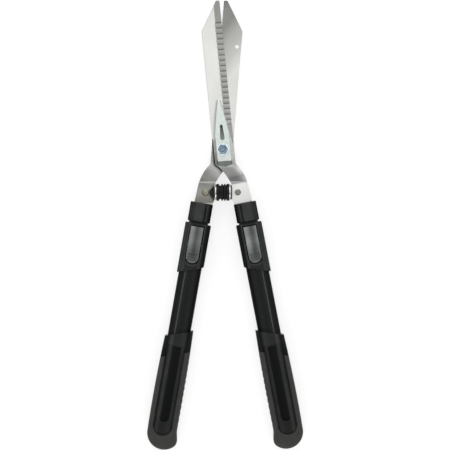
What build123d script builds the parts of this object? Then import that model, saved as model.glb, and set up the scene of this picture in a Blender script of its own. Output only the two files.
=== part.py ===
from build123d import *

import os
from math import cos, radians, sin

# Hedge shears with a wavy-edged front blade and two telescopic handles, in millimetres.
# Everything is placed about the blades' pivot: X to the right, Y from the handles towards the
# blade tips, Z up. The pieces are moved together at the end, so that the origin is the bottom
# centre of the closed tool. "Along" and "out" on a handle run down its axis and away from
# the other handle.

# ---------------------------------------------------------------- blades and arms
blade_thickness = 3.5
shear_gap = 0.1  # running gap between the two blades
blade_tilt = 5.25  # each closed blade leans this many degrees off the centre line
edge_offset = 17.0  # pivot to cutting edge, square to the blade
back_offset = 14.6  # pivot to the blade's back, square to the blade
tip_reach = 222.8  # pivot to the tip's blunt end, along the blade
tip_width = 5.4  # the blunt end's width
shoulder_reach = 179.0  # pivot to the corner where the raked tip starts
heel_reach = 5.0  # pivot to the lower end of the cutting edge
waist_reach = 15.7  # pivot to the lower end of the straight back
tip_radius = 1.6
shoulder_radius = 1.5
heel_corner = (19.2, -21.8)  # where the heel turns into the arm
heel_radius = 5.0
arm_bulge = (30.9, -37.0)  # a point on the arm's rounded outer side
arm_end = (37.3, -52.5)  # where the arm's outer side runs into the pad
crotch_bulge = (7.3, -43.0)  # a point on the arm's rounded inner side
crotch_top = (-1.2, -31.6)
toe_corner = (-12.8, -23.2)  # corner below the pivot, on the blade's own side
toe_radius = 4.0
toe_chamfer = 1.2  # on the front blade's upper side, round the toe corner
pad_edge = 13.0  # centre line to the pad's inner edge
pad_upper = 53.0  # pivot to the pad's upper and lower ends, down the centre line
pad_lower = 75.0
pad_out = 11.4  # the pad's outer and inner corners at the collar, off the handle's axis
pad_in = 15.9
pad_radius = 1.2
joggle_start = 44.0  # the arm steps down to the pad between these, above the collar
joggle_end = 30.0
joggle_upper_radius = 50.0  # bends on the blade's side and on the pad's side
joggle_lower_radius = 6.0
tang_width = 16.0
tang_length = 58.0
tang_chamfer = 3.0

# ---------------------------------------------------------------- cutting bevel
bevel_width = 9.5
bevel_land = 0.6  # thickness left at the cutting edge
bevel_start = 34.0  # pivot to the full bevel; below it the bevel runs out
bevel_heel = 0.2  # bevel width left at the heel
wave_start = 36.0  # pivot to the first scoop of the wavy edge
wave_count = 19
wave_pitch = 8.1
wave_depth = 0.35
hang_hole_radius = 3.0
hang_hole_reach = 155.6
hang_hole_inset = 6.5  # hole centre to the blade's back

# ---------------------------------------------------------------- pivot
bolt_radius = 4.0
bolt_head_radius = 9.0
bolt_head_height = 4.2
bolt_end = 1.4  # thread standing out of the nut
bolt_chamfer = 0.7
run_clearance = 0.05  # radial clearance of a pin or shank that turns
nut_across_flats = 13.0
nut_height = 6.5
pivot_washer_radius = 9.0
pivot_washer_height = 1.2
nut_chamfer = 0.7

# ---------------------------------------------------------------- tension plate
plate_centre = 1.0  # plate's centre line, off the pivot towards the cutting edge
plate_half_width = 11.4
plate_tip = 75.2  # pivot to the leaf's tip
plate_taper = 22.0  # pivot to where the leaf starts to narrow
plate_waist = (8.1, 45.5)  # a point on the leaf's rounded side: off its centre line, along
plate_tip_half = 1.7
plate_end = 23.4  # pivot to the plate's lower end
plate_nose = 26.2  # the lower end's middle stands out this far
plate_fold = 17.5  # pivot to the straight fold above the sloping end
plate_height = 4.0
plate_sheet = 1.5
plate_draft = 1.3  # how far the sides lean in
plate_end_wall = 2.2  # the sloping end's wall along the plate
plate_tip_share = 0.4  # the leaf's narrow tip is drawn in by this share of the draft
plate_crease = 14.4  # pivot to the crease across the plate
plate_crease_side = 1.1  # the crease is a square corner sunk into the plate
plate_dimple_depth = 0.4
plate_slot_ends = (16.8, 34.9)  # centres of the slot's round ends
plate_slot_radii = (3.3, 2.0)
plate_dimple = 44.1
plate_dimple_radius = 1.2
plate_bore_clearance = 0.08
spring_radius = 7.8
spring_sheet = 1.0
spring_bore_clearance = 0.25

# ---------------------------------------------------------------- bumper
bumper_drop = 64.2  # pivot to the bumper's axis
bumper_gap = 0.3  # closed bumper to its stop
bumper_washer_radius = 12.3
bumper_washer_height = 2.4
rib_radius = 12.8
groove_radius = 10.5
end_rib_width = 3.4
mid_rib_width = 1.4
mid_rib_centres = (8.4, 12.3)  # from the rubber's left end
rib_flank = 1.1  # slope between a rib's top and its groove
rib_rounding = 0.5
seat_radius = 7.0  # half-moon tab on the pad
seat_flange_radius = 7.7
seat_flange = 0.6
seat_half_height = 4.4
notch_depth = 5.0  # notch in the left pad's inner edge
notch_width = 8.0
stud_radius = 3.0
stud_seat_length = 4.2
stud_length = 8.0  # inside the rubber
spigot_radius = 4.0
spigot_length = 4.0
stop_radius = 10.9
stop_thickness = 1.7
strap_thickness = 2.0
strap_width = 10.0
seat_rivet_place = 26.4  # centre line to the rivet
stop_bolt_place = 22.4
rivet_radius = 2.5
rivet_head_radius = 4.6
rivet_head_height = 1.8
stop_head_across_flats = 8.0
stop_head_height = 2.4
stop_nut_height = 3.0

# ---------------------------------------------------------------- handles
handle_angle = 10.4  # each closed handle leans this many degrees off the centre line
handle_spread = 32.0  # centre line to a handle's axis at its collar
handle_drop = 80.0  # pivot to a collar's upper end
collar_proud = 0.15  # the collar's flat sides stand out past the tube's
collar_depth = 29.0
collar_length = 28.7
collar_facet = (8.3, 6.0)  # the octagon's sloping sides, across and in depth
collar_end_wall = 3.0
collar_chamfer = 0.8
collar_groove = (7.9, 1.0)  # groove down the collar's inner side: off its axis, its side
tube_width = 33.3
tube_depth = 25.0
tube_corner = 10.1
tube_wall = 1.6
tube_start = 36.0  # collar's upper end to the outer tube's ends
tube_end = 355.0
groove_offset = 6.5  # the tube's fine grooves, off its axis
groove_side = 0.9  # each groove is a square corner sunk into the skin
slide_gap = 0.4  # between the two tubes, all round
inner_wall = 1.5
inner_end = 343.0  # collar's upper end to the inner tube's lower end
insert_length = 57.0
pin_radius = 2.0
pin_places = (11.0, 22.0)
bush_rim = 5.0
bush_plug = 18.0
bush_gap = 0.3
rake = 0.34  # lower end of the housing and upper end of the grip: rise over width

# ---------------------------------------------------------------- handle lock
housing_start = 31.2
housing_middle = 101.7  # housing's lower end, on the handle's axis
housing_wall = 2.65  # at the tube's sides
housing_top = 15.4  # above the handle's axis
housing_bottom = 16.5  # below it
housing_corner = 6.5
housing_edge = 1.2
lever_start = 35.4
lever_end = 92.0
lever_width = 20.0
lever_gap = 0.9
lever_rim = 2.0  # width of the raised rim round the lever
lever_rim_top = 18.4
lever_crease = 63.4  # collar's upper end to the lever's pin
lever_crest = 19.2  # lever's top over its pin, above the handle's axis
lever_nose_top = 18.2
lever_thumb_top = 17.7
lever_under = 14.5
lever_thumb_under = 15.2
lever_edge = 0.8
lever_pin_radius = 1.5
lever_pin_height = 16.8
knurl_count = 5
knurl_pitch = 2.4
knurl_radius = 0.5
lever_knurl_margin = 2.5
shoe_start = 40.0
shoe_length = 16.0
shoe_width = 11.0
shoe_gap = 0.1  # shoe to inner tube
window_gap = 1.5  # shoe to the outer tube's window
leaf_start = 68.0
leaf_bend = 76.0
leaf_end = 87.0
leaf_width = 7.0
leaf_sheet = 0.4
leaf_gap = 0.1
screw_place = 44.0
screw_radius = 1.6
screw_head_radius = 3.2
screw_head_height = 2.2
screw_recess = 0.6
screw_cross_span = 3.8
screw_cross_width = 0.8

# ---------------------------------------------------------------- grip
grip_middle = 198.0  # grip's upper end, on the handle's axis
grip_top_half = 20.4
grip_swell = (270.0, 22.3)  # widest place of the long sides: along, out
grip_waist = (345.0, 22.0)  # where the inner side flares out to the butt
butt_centre = (348.0, -3.8)  # centre of the round butt: along, out
butt_radius = 25.6
butt_toe = 361.4  # collar's upper end to the finger-side corner of the butt
butt_toe_radius = 11.0
grip_half_depth = 16.5
grip_edge = 9.5
grip_blend = 30.0
sleeve_thickness = 2.0
band_length = 31.0  # bare core above the rubber, at the sides
window_width = 27.0
window_start = 215.5
window_end = 350.8
panel_width = 14.4
panel_start = 218.0
panel_end = 331.4
finger_count = 11
finger_start = 236.0
finger_pitch = 9.6
finger_depth = 0.7
finger_radius = 5.0

# ---------------------------------------------------------------- edges
dome_share = 0.85  # share of a domed head's height that is rounded
edge_break = 0.25  # share of a thin rim's thickness that is chamfered
side_count = 6  # sides of the nuts and of the bolt's head
overcut = 1.0  # how far a cut runs past the piece it is made in

# ---------------------------------------------------------------- derived levels
front_under = shear_gap / 2
front_top = front_under + blade_thickness
pad_half = blade_thickness / 2
plate_top = front_top + plate_height
washer_top = plate_top + pivot_washer_height
nut_top = washer_top + nut_height
neck_side = 2 * bolt_radius
collar_width = tube_width + 2 * collar_proud
housing_width = tube_width + 2 * housing_wall
inner_depth = tube_depth - 2 * (tube_wall + slide_gap)
rubber_start = -pad_edge + seat_flange + bumper_washer_height
rubber_end = pad_edge - stop_thickness - bumper_gap - bumper_washer_height
far = 400.0  # longer than any piece, for cutting tools

SIDES = {"left": -1, "right": 1}


# ---------------------------------------------------------------- places
def blade_point(hand, across, along):
    """A point of a blade: hand is 1 for the front blade and -1 for the rear one."""
    lean = radians(blade_tilt)
    x = across * cos(lean) - along * sin(lean)
    return (hand * x, across * sin(lean) + along * cos(lean))


def handle_point(side, along, out):
    """A point in a handle's own plane: side is 1 for the right handle, -1 for the left."""
    lean = radians(handle_angle)
    x = handle_spread + along * sin(lean) + out * cos(lean)
    return (side * x, -handle_drop - along * cos(lean) + out * sin(lean))


def handle_way(side):
    """The direction down a handle."""
    lean = radians(handle_angle)
    return Vector(side * sin(lean), -cos(lean), 0)


def deck(height):
    """The plane parallel to the blades at a height, centred on the pivot."""
    return Plane.XY.offset(height)


def handle_deck(side, height):
    """The same plane turned to a handle: local x runs down it, and y is side times out."""
    x, y = handle_point(side, 0, 0)
    return Plane(origin=(x, y, height), x_dir=handle_way(side), z_dir=(0, 0, 1))


def handle_profile(side):
    """The upright plane along a handle's axis: local x runs down it, and y is up."""
    way = handle_way(side)
    x, y = handle_point(side, 0, 0)
    return Plane(origin=(x, y, 0), x_dir=way, z_dir=way.cross(Vector(0, 0, 1)))


def handle_section(side, along):
    """The plane square to a handle at a station, facing down it, with y up."""
    x, y = handle_point(side, along, 0)
    way = handle_way(side)
    return Plane(origin=(x, y, 0), x_dir=Vector(0, 0, 1).cross(way), z_dir=way)


def blade_section(hand, along):
    """The plane square to a blade at a station: local x points to its cutting edge."""
    lean = radians(blade_tilt)
    across = Vector(hand * cos(lean), sin(lean), 0)
    x, y = blade_point(hand, 0, along)
    return Plane(origin=(x, y, 0), x_dir=across, z_dir=across.cross(Vector(0, 0, 1)))


def nearest(shapes, place):
    """The vertex of a list that lies nearest to a place."""
    return shapes.sort_by_distance(place)[0]


# ---------------------------------------------------------------- blades
def blade_outline(hand):
    """The flat outline of one blade with its arm, pad and tang, as the current sketch."""

    def arm(point):
        return (hand * point[0], point[1])

    def grip(along, out):
        return handle_point(hand, along, out)

    heel = blade_point(hand, edge_offset, heel_reach)
    tip = blade_point(hand, edge_offset, tip_reach)
    tip_back = blade_point(hand, edge_offset - tip_width, tip_reach)
    shoulder = blade_point(hand, -back_offset, shoulder_reach)
    waist = blade_point(hand, -back_offset, waist_reach)
    half_tang = tang_width / 2
    pad_top = arm((pad_edge, -pad_upper))
    pad_foot = arm((pad_edge, -pad_lower))
    with BuildLine() as outline:
        Polyline(arm(toe_corner), waist, shoulder, tip_back, tip, heel, arm(heel_corner))
        ThreePointArc(arm(heel_corner), arm(arm_bulge), arm(arm_end))
        Polyline(
            arm(arm_end),
            grip(0, pad_out),
            grip(0, half_tang),
            grip(tang_length, half_tang),
            grip(tang_length, -half_tang),
            grip(0, -half_tang),
            grip(0, -pad_in),
            pad_foot,
            pad_top,
        )
        ThreePointArc(pad_top, arm(crotch_bulge), arm(crotch_top))
        Line(arm(crotch_top), arm(toe_corner))
    make_face(outline.edges())
    corners = (
        (tip, tip_radius),
        (tip_back, tip_radius),
        (shoulder, shoulder_radius),
        (arm(heel_corner), heel_radius),
        (arm(toe_corner), toe_radius),
        (pad_foot, pad_radius),
    )
    for place, radius in corners:
        fillet(nearest(vertices(), (*place, 0)), radius=radius)
    for out in (half_tang, -half_tang):
        chamfer(nearest(vertices(), (*grip(tang_length, out), 0)), length=tang_chamfer)


def joggled_strip(under):
    """The blank's side view: flat at the blade, stepping to the middle at the pad."""
    top = under + blade_thickness
    tang_tip = tang_length + overcut
    with BuildLine() as outline:
        Polyline(
            (-far, under),
            (-joggle_start, under),
            (-joggle_end, -pad_half),
            (tang_tip, -pad_half),
            (tang_tip, pad_half),
            (-joggle_end, pad_half),
            (-joggle_start, top),
            (-far, top),
            close=True,
        )
    make_face(outline.edges())
    for along, radius in ((-joggle_start, joggle_upper_radius), (-joggle_end, joggle_lower_radius)):
        fillet(vertices().filter_by_position(Axis.X, along, along), radius=radius)


def wedge(inner, outer, face, slope, lift):
    """The section that the grinding of the bevel takes away, as the current sketch."""
    with BuildLine() as outline:
        Polyline(
            (inner, face),
            (outer, face + slope * (outer - inner)),
            (outer, face + lift),
            (inner, face + lift),
            close=True,
        )
    make_face(outline.edges())


def cut_bevel(hand, face, slope):
    """Grind the cutting bevel into a blade's outer face; it runs out towards the heel."""
    lift = overcut if face > 0 else -overcut
    inner = edge_offset - bevel_width
    outer = edge_offset + 2 * overcut
    full_end = tip_reach + bevel_width
    with BuildSketch(blade_section(hand, (bevel_start + full_end) / 2)) as full:
        wedge(inner, outer, face, slope, lift)
    half_run = (full_end - bevel_start) / 2
    extrude(full.sketch, amount=half_run, both=True, mode=Mode.SUBTRACT)
    with BuildSketch(blade_section(hand, bevel_start)) as wide:
        wedge(inner, outer, face, slope, lift)
    with BuildSketch(blade_section(hand, heel_reach)) as narrow:
        wedge(edge_offset - bevel_heel, outer, face, slope, lift)
    loft(sections=[wide.sketch, narrow.sketch], ruled=True, mode=Mode.SUBTRACT)


def cut_waves(face, slope):
    """Scoop the front blade's bevel: round scoops side by side, square to the edge."""
    lean = radians(blade_tilt)
    half_run = wave_pitch * wave_count / 2
    middle = edge_offset - bevel_width / 2
    x, y = blade_point(1, middle, wave_start + half_run)
    scoop_radius = ((wave_pitch / 2) ** 2 + wave_depth**2) / (2 * wave_depth)
    plane = Plane(
        origin=(x, y, face + slope * bevel_width / 2),
        x_dir=(-sin(lean), cos(lean), 0),
        z_dir=(cos(lean), sin(lean), slope),
    )
    with BuildSketch(plane) as scoops:
        with Locations((0, scoop_radius - wave_depth)):
            with GridLocations(wave_pitch, 1, wave_count, 1):
                Circle(scoop_radius)
    extrude(scoops.sketch, amount=bevel_width, both=True, mode=Mode.SUBTRACT)


def make_blade(hand):
    """One blade with its arm, pad and tang: hand is 1 for the front and -1 for the rear."""
    face = hand * front_top
    slope = hand * (bevel_land - blade_thickness) / bevel_width
    rivet_place = stop_bolt_place if hand == 1 else seat_rivet_place
    with BuildPart() as blade:
        with BuildSketch(deck(0)):
            blade_outline(hand)
        extrude(amount=2 * front_top, both=True)
        with BuildSketch(handle_profile(hand)):
            joggled_strip(min(face, face - hand * blade_thickness))
        extrude(amount=far, both=True, mode=Mode.INTERSECT)
        cut_bevel(hand, face, slope)
        if hand == 1:
            cut_waves(face, slope)
        if hand == 1:
            top_edges = blade.faces().sort_by(Axis.Z)[-1].edges()
            chamfer(top_edges.sort_by_distance((*toe_corner, face))[:3], length=toe_chamfer)
        with BuildSketch(deck(0)):
            with Locations((hand * rivet_place, -bumper_drop)):
                Circle(rivet_radius)
            for along in pin_places:
                with Locations(handle_point(hand, along, 0)):
                    Circle(pin_radius)
            if hand == 1:
                Circle(bolt_radius + run_clearance)
            else:
                with Locations((-pad_edge - notch_depth / 2, -bumper_drop)):
                    Rectangle(notch_depth, notch_width)
                Rectangle(neck_side, neck_side)
                with Locations(blade_point(hand, hang_hole_inset - back_offset, hang_hole_reach)):
                    Circle(hang_hole_radius)
        extrude(amount=far, both=True, mode=Mode.SUBTRACT)
    return blade.part


# ---------------------------------------------------------------- pivot
def make_pivot_bolt():
    """A cup-head bolt from the back, keyed in the rear blade by its square neck."""
    with BuildPart() as bolt:
        with BuildSketch(deck(-front_top)):
            Circle(bolt_head_radius)
        extrude(amount=-bolt_head_height)
        fillet(bolt.edges().sort_by(Axis.Z)[0], radius=bolt_head_height * dome_share)
        with BuildSketch(deck(-front_top)):
            Rectangle(neck_side, neck_side)
        extrude(amount=blade_thickness)
        with BuildSketch(deck(-front_top)):
            Circle(bolt_radius)
        extrude(amount=front_top + nut_top + bolt_end)
        chamfer(bolt.edges().sort_by(Axis.Z)[-1], length=bolt_chamfer)
    return bolt.part


def make_disc_spring():
    """A cone washer that presses the front blade back against the rear one."""
    bore = bolt_radius + spring_bore_clearance
    under_plate = plate_top - plate_sheet
    with BuildPart() as spring:
        with BuildSketch(Plane.XZ):
            with BuildLine():
                Polyline(
                    (spring_radius, front_top),
                    (spring_radius, front_top + spring_sheet),
                    (bore, under_plate),
                    (bore, under_plate - spring_sheet),
                    close=True,
                )
            make_face()
        revolve(axis=Axis.Z)
    return spring.part


def leaf_outline(inset, end, nose):
    """The tension plate's outline, drawn in by an amount, with the given places of its lower end."""
    half = plate_half_width - inset
    waist_half = plate_waist[0] - inset
    tip_half = plate_tip_half - inset * plate_tip_share
    left, right = plate_centre - half, plate_centre + half
    tip = plate_tip - 2 * inset
    with BuildLine() as outline:
        Polyline((left, plate_taper), (left, -end), (plate_centre, -nose), (right, -end), (right, plate_taper))
        ThreePointArc(
            (right, plate_taper),
            (plate_centre + waist_half, plate_waist[1]),
            (plate_centre + tip_half, tip),
        )
        Line((plate_centre + tip_half, tip), (plate_centre - tip_half, tip))
        ThreePointArc(
            (plate_centre - tip_half, tip),
            (plate_centre - waist_half, plate_waist[1]),
            (left, plate_taper),
        )
    make_face(outline.edges())


def leaf_deck(height):
    """The plane parallel to the blades and turned to the front one, centred on the pivot."""
    lean = radians(blade_tilt)
    return Plane(origin=(0, 0, height), x_dir=(cos(lean), sin(lean), 0), z_dir=(0, 0, 1))


def make_tension_plate():
    """A pressed leaf-shaped tray over the pivot, with a keyhole slot and a sloping end."""
    under_plate = plate_top - plate_sheet
    with BuildPart() as plate:
        with BuildSketch(leaf_deck(front_top)) as foot:
            leaf_outline(0, plate_end, plate_nose)
        with BuildSketch(leaf_deck(plate_top)) as crown:
            leaf_outline(plate_draft, plate_fold, plate_fold)
        loft(sections=[foot.sketch, crown.sketch], ruled=True)
        with BuildSketch(leaf_deck(front_top)) as hollow_foot:
            leaf_outline(plate_sheet, plate_end - plate_end_wall, plate_nose - plate_end_wall)
        with BuildSketch(leaf_deck(under_plate)) as hollow_crown:
            crown_end = plate_fold - plate_end_wall
            leaf_outline(plate_draft + plate_sheet, crown_end, crown_end)
        loft(sections=[hollow_foot.sketch, hollow_crown.sketch], ruled=True, mode=Mode.SUBTRACT)
        with BuildSketch(leaf_deck(plate_top)) as openings:
            for along, radius in zip(plate_slot_ends, plate_slot_radii):
                with Locations((plate_centre, along)):
                    Circle(radius)
            make_hull()
            Circle(bolt_radius + plate_bore_clearance)
        extrude(openings.sketch, amount=-plate_sheet, mode=Mode.SUBTRACT)
        with BuildSketch(leaf_deck(plate_top)) as dimple:
            with Locations((plate_centre, plate_dimple)):
                Circle(plate_dimple_radius)
        extrude(dimple.sketch, amount=-plate_dimple_depth, mode=Mode.SUBTRACT)
        lean = radians(blade_tilt)
        crease_plane = Plane(
            origin=(*blade_point(1, plate_centre, -plate_crease), plate_top),
            x_dir=(-sin(lean), cos(lean), 0),
            z_dir=(cos(lean), sin(lean), 0),
        )
        with BuildSketch(crease_plane) as crease:
            Rectangle(plate_crease_side, plate_crease_side, rotation=45)
        extrude(crease.sketch, amount=plate_half_width, both=True, mode=Mode.SUBTRACT)
    return plate.part


def make_pivot_washer():
    with BuildPart() as washer:
        with BuildSketch(deck(plate_top)):
            Circle(pivot_washer_radius)
            Circle(bolt_radius, mode=Mode.SUBTRACT)
        extrude(amount=pivot_washer_height)
        rims = washer.edges().filter_by(GeomType.CIRCLE).group_by(SortBy.RADIUS)[-1]
        chamfer(rims, length=pivot_washer_height * edge_break)
    return washer.part


def make_pivot_nut():
    """A plain hexagon nut with its corners turned off."""
    with BuildPart() as nut:
        with BuildSketch(deck(washer_top)):
            Circle(nut_across_flats / 2 / cos(radians(30)))
        extrude(amount=nut_height)
        chamfer(nut.edges().filter_by(GeomType.CIRCLE), length=nut_chamfer)
        with BuildSketch(deck(washer_top)):
            RegularPolygon(nut_across_flats / 2, side_count, major_radius=False)
        extrude(amount=nut_height, mode=Mode.INTERSECT)
        with BuildSketch(deck(washer_top)):
            Circle(bolt_radius)
        extrude(amount=nut_height, mode=Mode.SUBTRACT)
    return nut.part


# ---------------------------------------------------------------- bumper
def bumper_section(x):
    """The plane square to the bumper's axis at a place along it, facing right."""
    return Plane(origin=(x, -bumper_drop, 0), x_dir=(0, 1, 0), z_dir=(1, 0, 0))


def bumper_deck(height):
    """The plane parallel to the blades through a height, centred on the bumper's axis."""
    return Plane(origin=(0, -bumper_drop, height), x_dir=(1, 0, 0), z_dir=(0, 0, 1))


def add_strap(side, rivet_place):
    """The strap under a pad, from its inner edge out to its rivet."""
    with BuildSketch(bumper_deck(-pad_half - strap_thickness)) as strap:
        with Locations((side * (pad_edge + rivet_place) / 2, 0)):
            Rectangle(rivet_place - pad_edge, strap_width)
        with Locations((side * rivet_place, 0)):
            Circle(strap_width / 2)
            Circle(rivet_radius, mode=Mode.SUBTRACT)
    extrude(strap.sketch, amount=strap_thickness)


def make_bumper_seat():
    """The moulded clip that holds the bumper on the left pad's inner edge."""
    with BuildPart() as seat:
        with BuildSketch(bumper_deck(-seat_half_height)):
            with Locations((-pad_edge, 0)):
                Circle(seat_radius)
                with Locations((seat_radius, 0)):
                    Rectangle(2 * seat_radius, 2 * seat_radius, mode=Mode.SUBTRACT)
        extrude(amount=2 * seat_half_height)
        with BuildSketch(bumper_deck(-pad_half)):
            with Locations((-pad_edge, 0)):
                Circle(seat_radius * 2)
        extrude(amount=blade_thickness, mode=Mode.SUBTRACT)
        with BuildSketch(bumper_deck(-pad_half)) as web:
            with Locations((-pad_edge - notch_depth / 2, 0)):
                Rectangle(notch_depth, notch_width)
        extrude(web.sketch, amount=blade_thickness)
        add_strap(-1, seat_rivet_place)
        with BuildSketch(bumper_section(-pad_edge)):
            Circle(seat_flange_radius)
        extrude(amount=seat_flange)
        with BuildSketch(bumper_section(-pad_edge + seat_flange)):
            Circle(stud_radius)
        extrude(amount=-stud_seat_length, mode=Mode.SUBTRACT)
    return seat.part


def make_bumper_stop():
    """The rubber disc on the right pad's inner edge that the bumper closes against."""
    with BuildPart() as stop:
        with BuildSketch(bumper_section(pad_edge)):
            Circle(stop_radius)
        extrude(amount=-stop_thickness)
        fillet(stop.edges().sort_by(Axis.X)[0], radius=stop_thickness * edge_break)
        add_strap(1, stop_bolt_place)
    return stop.part


def make_bumper_washer(start):
    """A steel end plate from start to the right, with its spigot into the rubber."""
    inward = 1 if start < 0 else -1
    with BuildPart() as washer:
        with BuildSketch(bumper_section(start)):
            Circle(bumper_washer_radius)
        extrude(amount=bumper_washer_height)
        chamfer(washer.edges().filter_by(GeomType.CIRCLE), length=bumper_washer_height * edge_break)
        with BuildSketch(bumper_section(start + max(inward, 0) * bumper_washer_height)):
            Circle(spigot_radius)
        extrude(amount=inward * spigot_length)
        if inward > 0:
            with BuildSketch(bumper_section(start)):
                Circle(stud_radius)
            extrude(amount=bumper_washer_height + spigot_length, mode=Mode.SUBTRACT)
    return washer.part


def make_bumper_stud():
    """The headless stud that screws the bumper into its seat."""
    start = -pad_edge + seat_flange - stud_seat_length
    with BuildPart() as stud:
        with BuildSketch(bumper_section(start)):
            Circle(stud_radius)
        extrude(amount=stud_seat_length + bumper_washer_height + stud_length)
        chamfer(stud.edges().filter_by(GeomType.CIRCLE), length=stud_radius * edge_break)
    return stud.part


def make_bumper_rubber():
    """The ribbed rubber between the two end plates: two wide end ribs and narrow middle ones."""
    outline = [
        (rubber_start, 0),
        (rubber_start, rib_radius),
        (rubber_start + end_rib_width, rib_radius),
        (rubber_start + end_rib_width + rib_flank, groove_radius),
    ]
    for centre in mid_rib_centres:
        low = rubber_start + centre - mid_rib_width / 2
        high = low + mid_rib_width
        outline += [
            (low - rib_flank, groove_radius),
            (low, rib_radius),
            (high, rib_radius),
            (high + rib_flank, groove_radius),
        ]
    outline += [
        (rubber_end - end_rib_width - rib_flank, groove_radius),
        (rubber_end - end_rib_width, rib_radius),
        (rubber_end, rib_radius),
        (rubber_end, 0),
    ]
    bores = (
        (rubber_start, spigot_length, spigot_radius),
        (rubber_end, -spigot_length, spigot_radius),
        (rubber_start, stud_length, stud_radius),
    )
    with BuildPart() as rubber:
        with BuildSketch(bumper_deck(0)):
            with BuildLine():
                Polyline(*outline, close=True)
            make_face()
        revolve(axis=Axis((0, -bumper_drop, 0), (1, 0, 0)))
        crests = rubber.edges().filter_by(GeomType.CIRCLE).group_by(SortBy.RADIUS)[-1]
        fillet(crests, radius=rib_rounding)
        for start, depth, radius in bores:
            with BuildSketch(bumper_section(start)):
                Circle(radius)
            extrude(amount=depth, mode=Mode.SUBTRACT)
    return rubber.part


def make_seat_rivet():
    """The domed rivet through the left pad and the seat's strap."""
    grip = blade_thickness + strap_thickness
    rounds = (
        (pad_half, rivet_head_height, rivet_head_radius),
        (pad_half, -grip, rivet_radius),
        (pad_half - grip, -rivet_head_height, rivet_head_radius),
    )
    with BuildPart() as rivet:
        for height, length, radius in rounds:
            with BuildSketch(deck(height)):
                with Locations((-seat_rivet_place, -bumper_drop)):
                    Circle(radius)
            extrude(amount=length)
        crowns = rivet.edges().group_by(Axis.Z)
        fillet([*crowns[0], *crowns[-1]], radius=rivet_head_height * dome_share)
    return rivet.part


def make_stop_bolt():
    """The hexagon-headed bolt through the right pad and the stop's strap."""
    place = (stop_bolt_place, -bumper_drop)
    grip = blade_thickness + strap_thickness
    with BuildPart() as bolt:
        with BuildSketch(deck(pad_half)):
            with Locations(place):
                RegularPolygon(stop_head_across_flats / 2, side_count, major_radius=False)
        extrude(amount=stop_head_height)
        chamfer(bolt.edges().group_by(Axis.Z)[-1], length=stop_head_height * edge_break)
        with BuildSketch(deck(pad_half)):
            with Locations(place):
                Circle(rivet_radius)
        extrude(amount=-grip - stop_nut_height - bolt_chamfer)
        chamfer(bolt.edges().sort_by(Axis.Z)[0], length=bolt_chamfer)
    return bolt.part


def make_stop_nut():
    place = (stop_bolt_place, -bumper_drop)
    under = pad_half - blade_thickness - strap_thickness
    with BuildPart() as nut:
        with BuildSketch(deck(under)):
            with Locations(place):
                RegularPolygon(stop_head_across_flats / 2, side_count, major_radius=False)
                Circle(rivet_radius, mode=Mode.SUBTRACT)
        extrude(amount=-stop_nut_height)
    return nut.part


# ---------------------------------------------------------------- handles
def tube_profile(inset, mode=Mode.ADD):
    """The tubes' rounded section, drawn in from the outer tube's skin, in the current sketch."""
    width, depth = tube_width - 2 * inset, tube_depth - 2 * inset
    RectangleRounded(width, depth, tube_corner - inset, mode=mode)


def cut_pins(side):
    """Drill a handle piece through for the two pins that hold the tang."""
    with BuildSketch(handle_deck(side, 0)) as holes:
        for along in pin_places:
            with Locations((along, 0)):
                Circle(pin_radius)
    extrude(holes.sketch, amount=tube_depth, both=True, mode=Mode.SUBTRACT)


def make_collar(side):
    """The faceted moulded collar at the top of a handle."""
    half_width, half_depth = collar_width / 2, collar_depth / 2
    across, deep = collar_facet
    corners = [
        (half_width, half_depth - deep),
        (half_width - across, half_depth),
        (across - half_width, half_depth),
        (-half_width, half_depth - deep),
        (-half_width, deep - half_depth),
        (across - half_width, -half_depth),
        (half_width - across, -half_depth),
        (half_width, deep - half_depth),
    ]
    with BuildPart() as collar:
        with BuildSketch(handle_section(side, 0)):
            Polygon(*corners, align=None)
        extrude(amount=collar_length)
        down_handle = collar.faces().sort_by(Axis((0, 0, 0), handle_way(side)))
        ends = down_handle[0].edges() + down_handle[-1].edges()
        chamfer(ends, length=collar_chamfer)
        with BuildSketch(handle_section(side, collar_end_wall)):
            tube_profile(tube_wall + slide_gap)
        extrude(amount=collar_length, mode=Mode.SUBTRACT)
        with BuildSketch(handle_section(side, 0)):
            Rectangle(tang_width, blade_thickness)
            with Locations((-side * collar_groove[0], half_depth), (-side * collar_groove[0], -half_depth)):
                Rectangle(collar_groove[1], collar_groove[1], rotation=45)
        extrude(amount=collar_length, mode=Mode.SUBTRACT)
    return collar.part


def make_inner_tube(side):
    """The tube fixed in the collar, on which the handle slides."""
    outside = tube_wall + slide_gap
    with BuildPart() as tube:
        with BuildSketch(handle_section(side, collar_end_wall)):
            tube_profile(outside)
            tube_profile(outside + inner_wall, mode=Mode.SUBTRACT)
        extrude(amount=inner_end - collar_end_wall)
        cut_pins(side)
    return tube.part


def make_tang_insert(side):
    """The moulded plug that fills the inner tube round the blade's tang."""
    with BuildPart() as insert:
        with BuildSketch(handle_section(side, collar_end_wall)):
            tube_profile(tube_wall + slide_gap + inner_wall)
        extrude(amount=insert_length)
        with BuildSketch(handle_section(side, 0)):
            Rectangle(tang_width, blade_thickness)
        extrude(amount=tang_length, mode=Mode.SUBTRACT)
        cut_pins(side)
    return insert.part


def make_tang_pins(side):
    """The two pins through the inner tube, its plug and the tang."""
    with BuildPart() as pins:
        with BuildSketch(handle_deck(side, 0)):
            for along in pin_places:
                with Locations((along, 0)):
                    Circle(pin_radius)
        extrude(amount=inner_depth / 2, both=True)
    return pins.part


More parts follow.
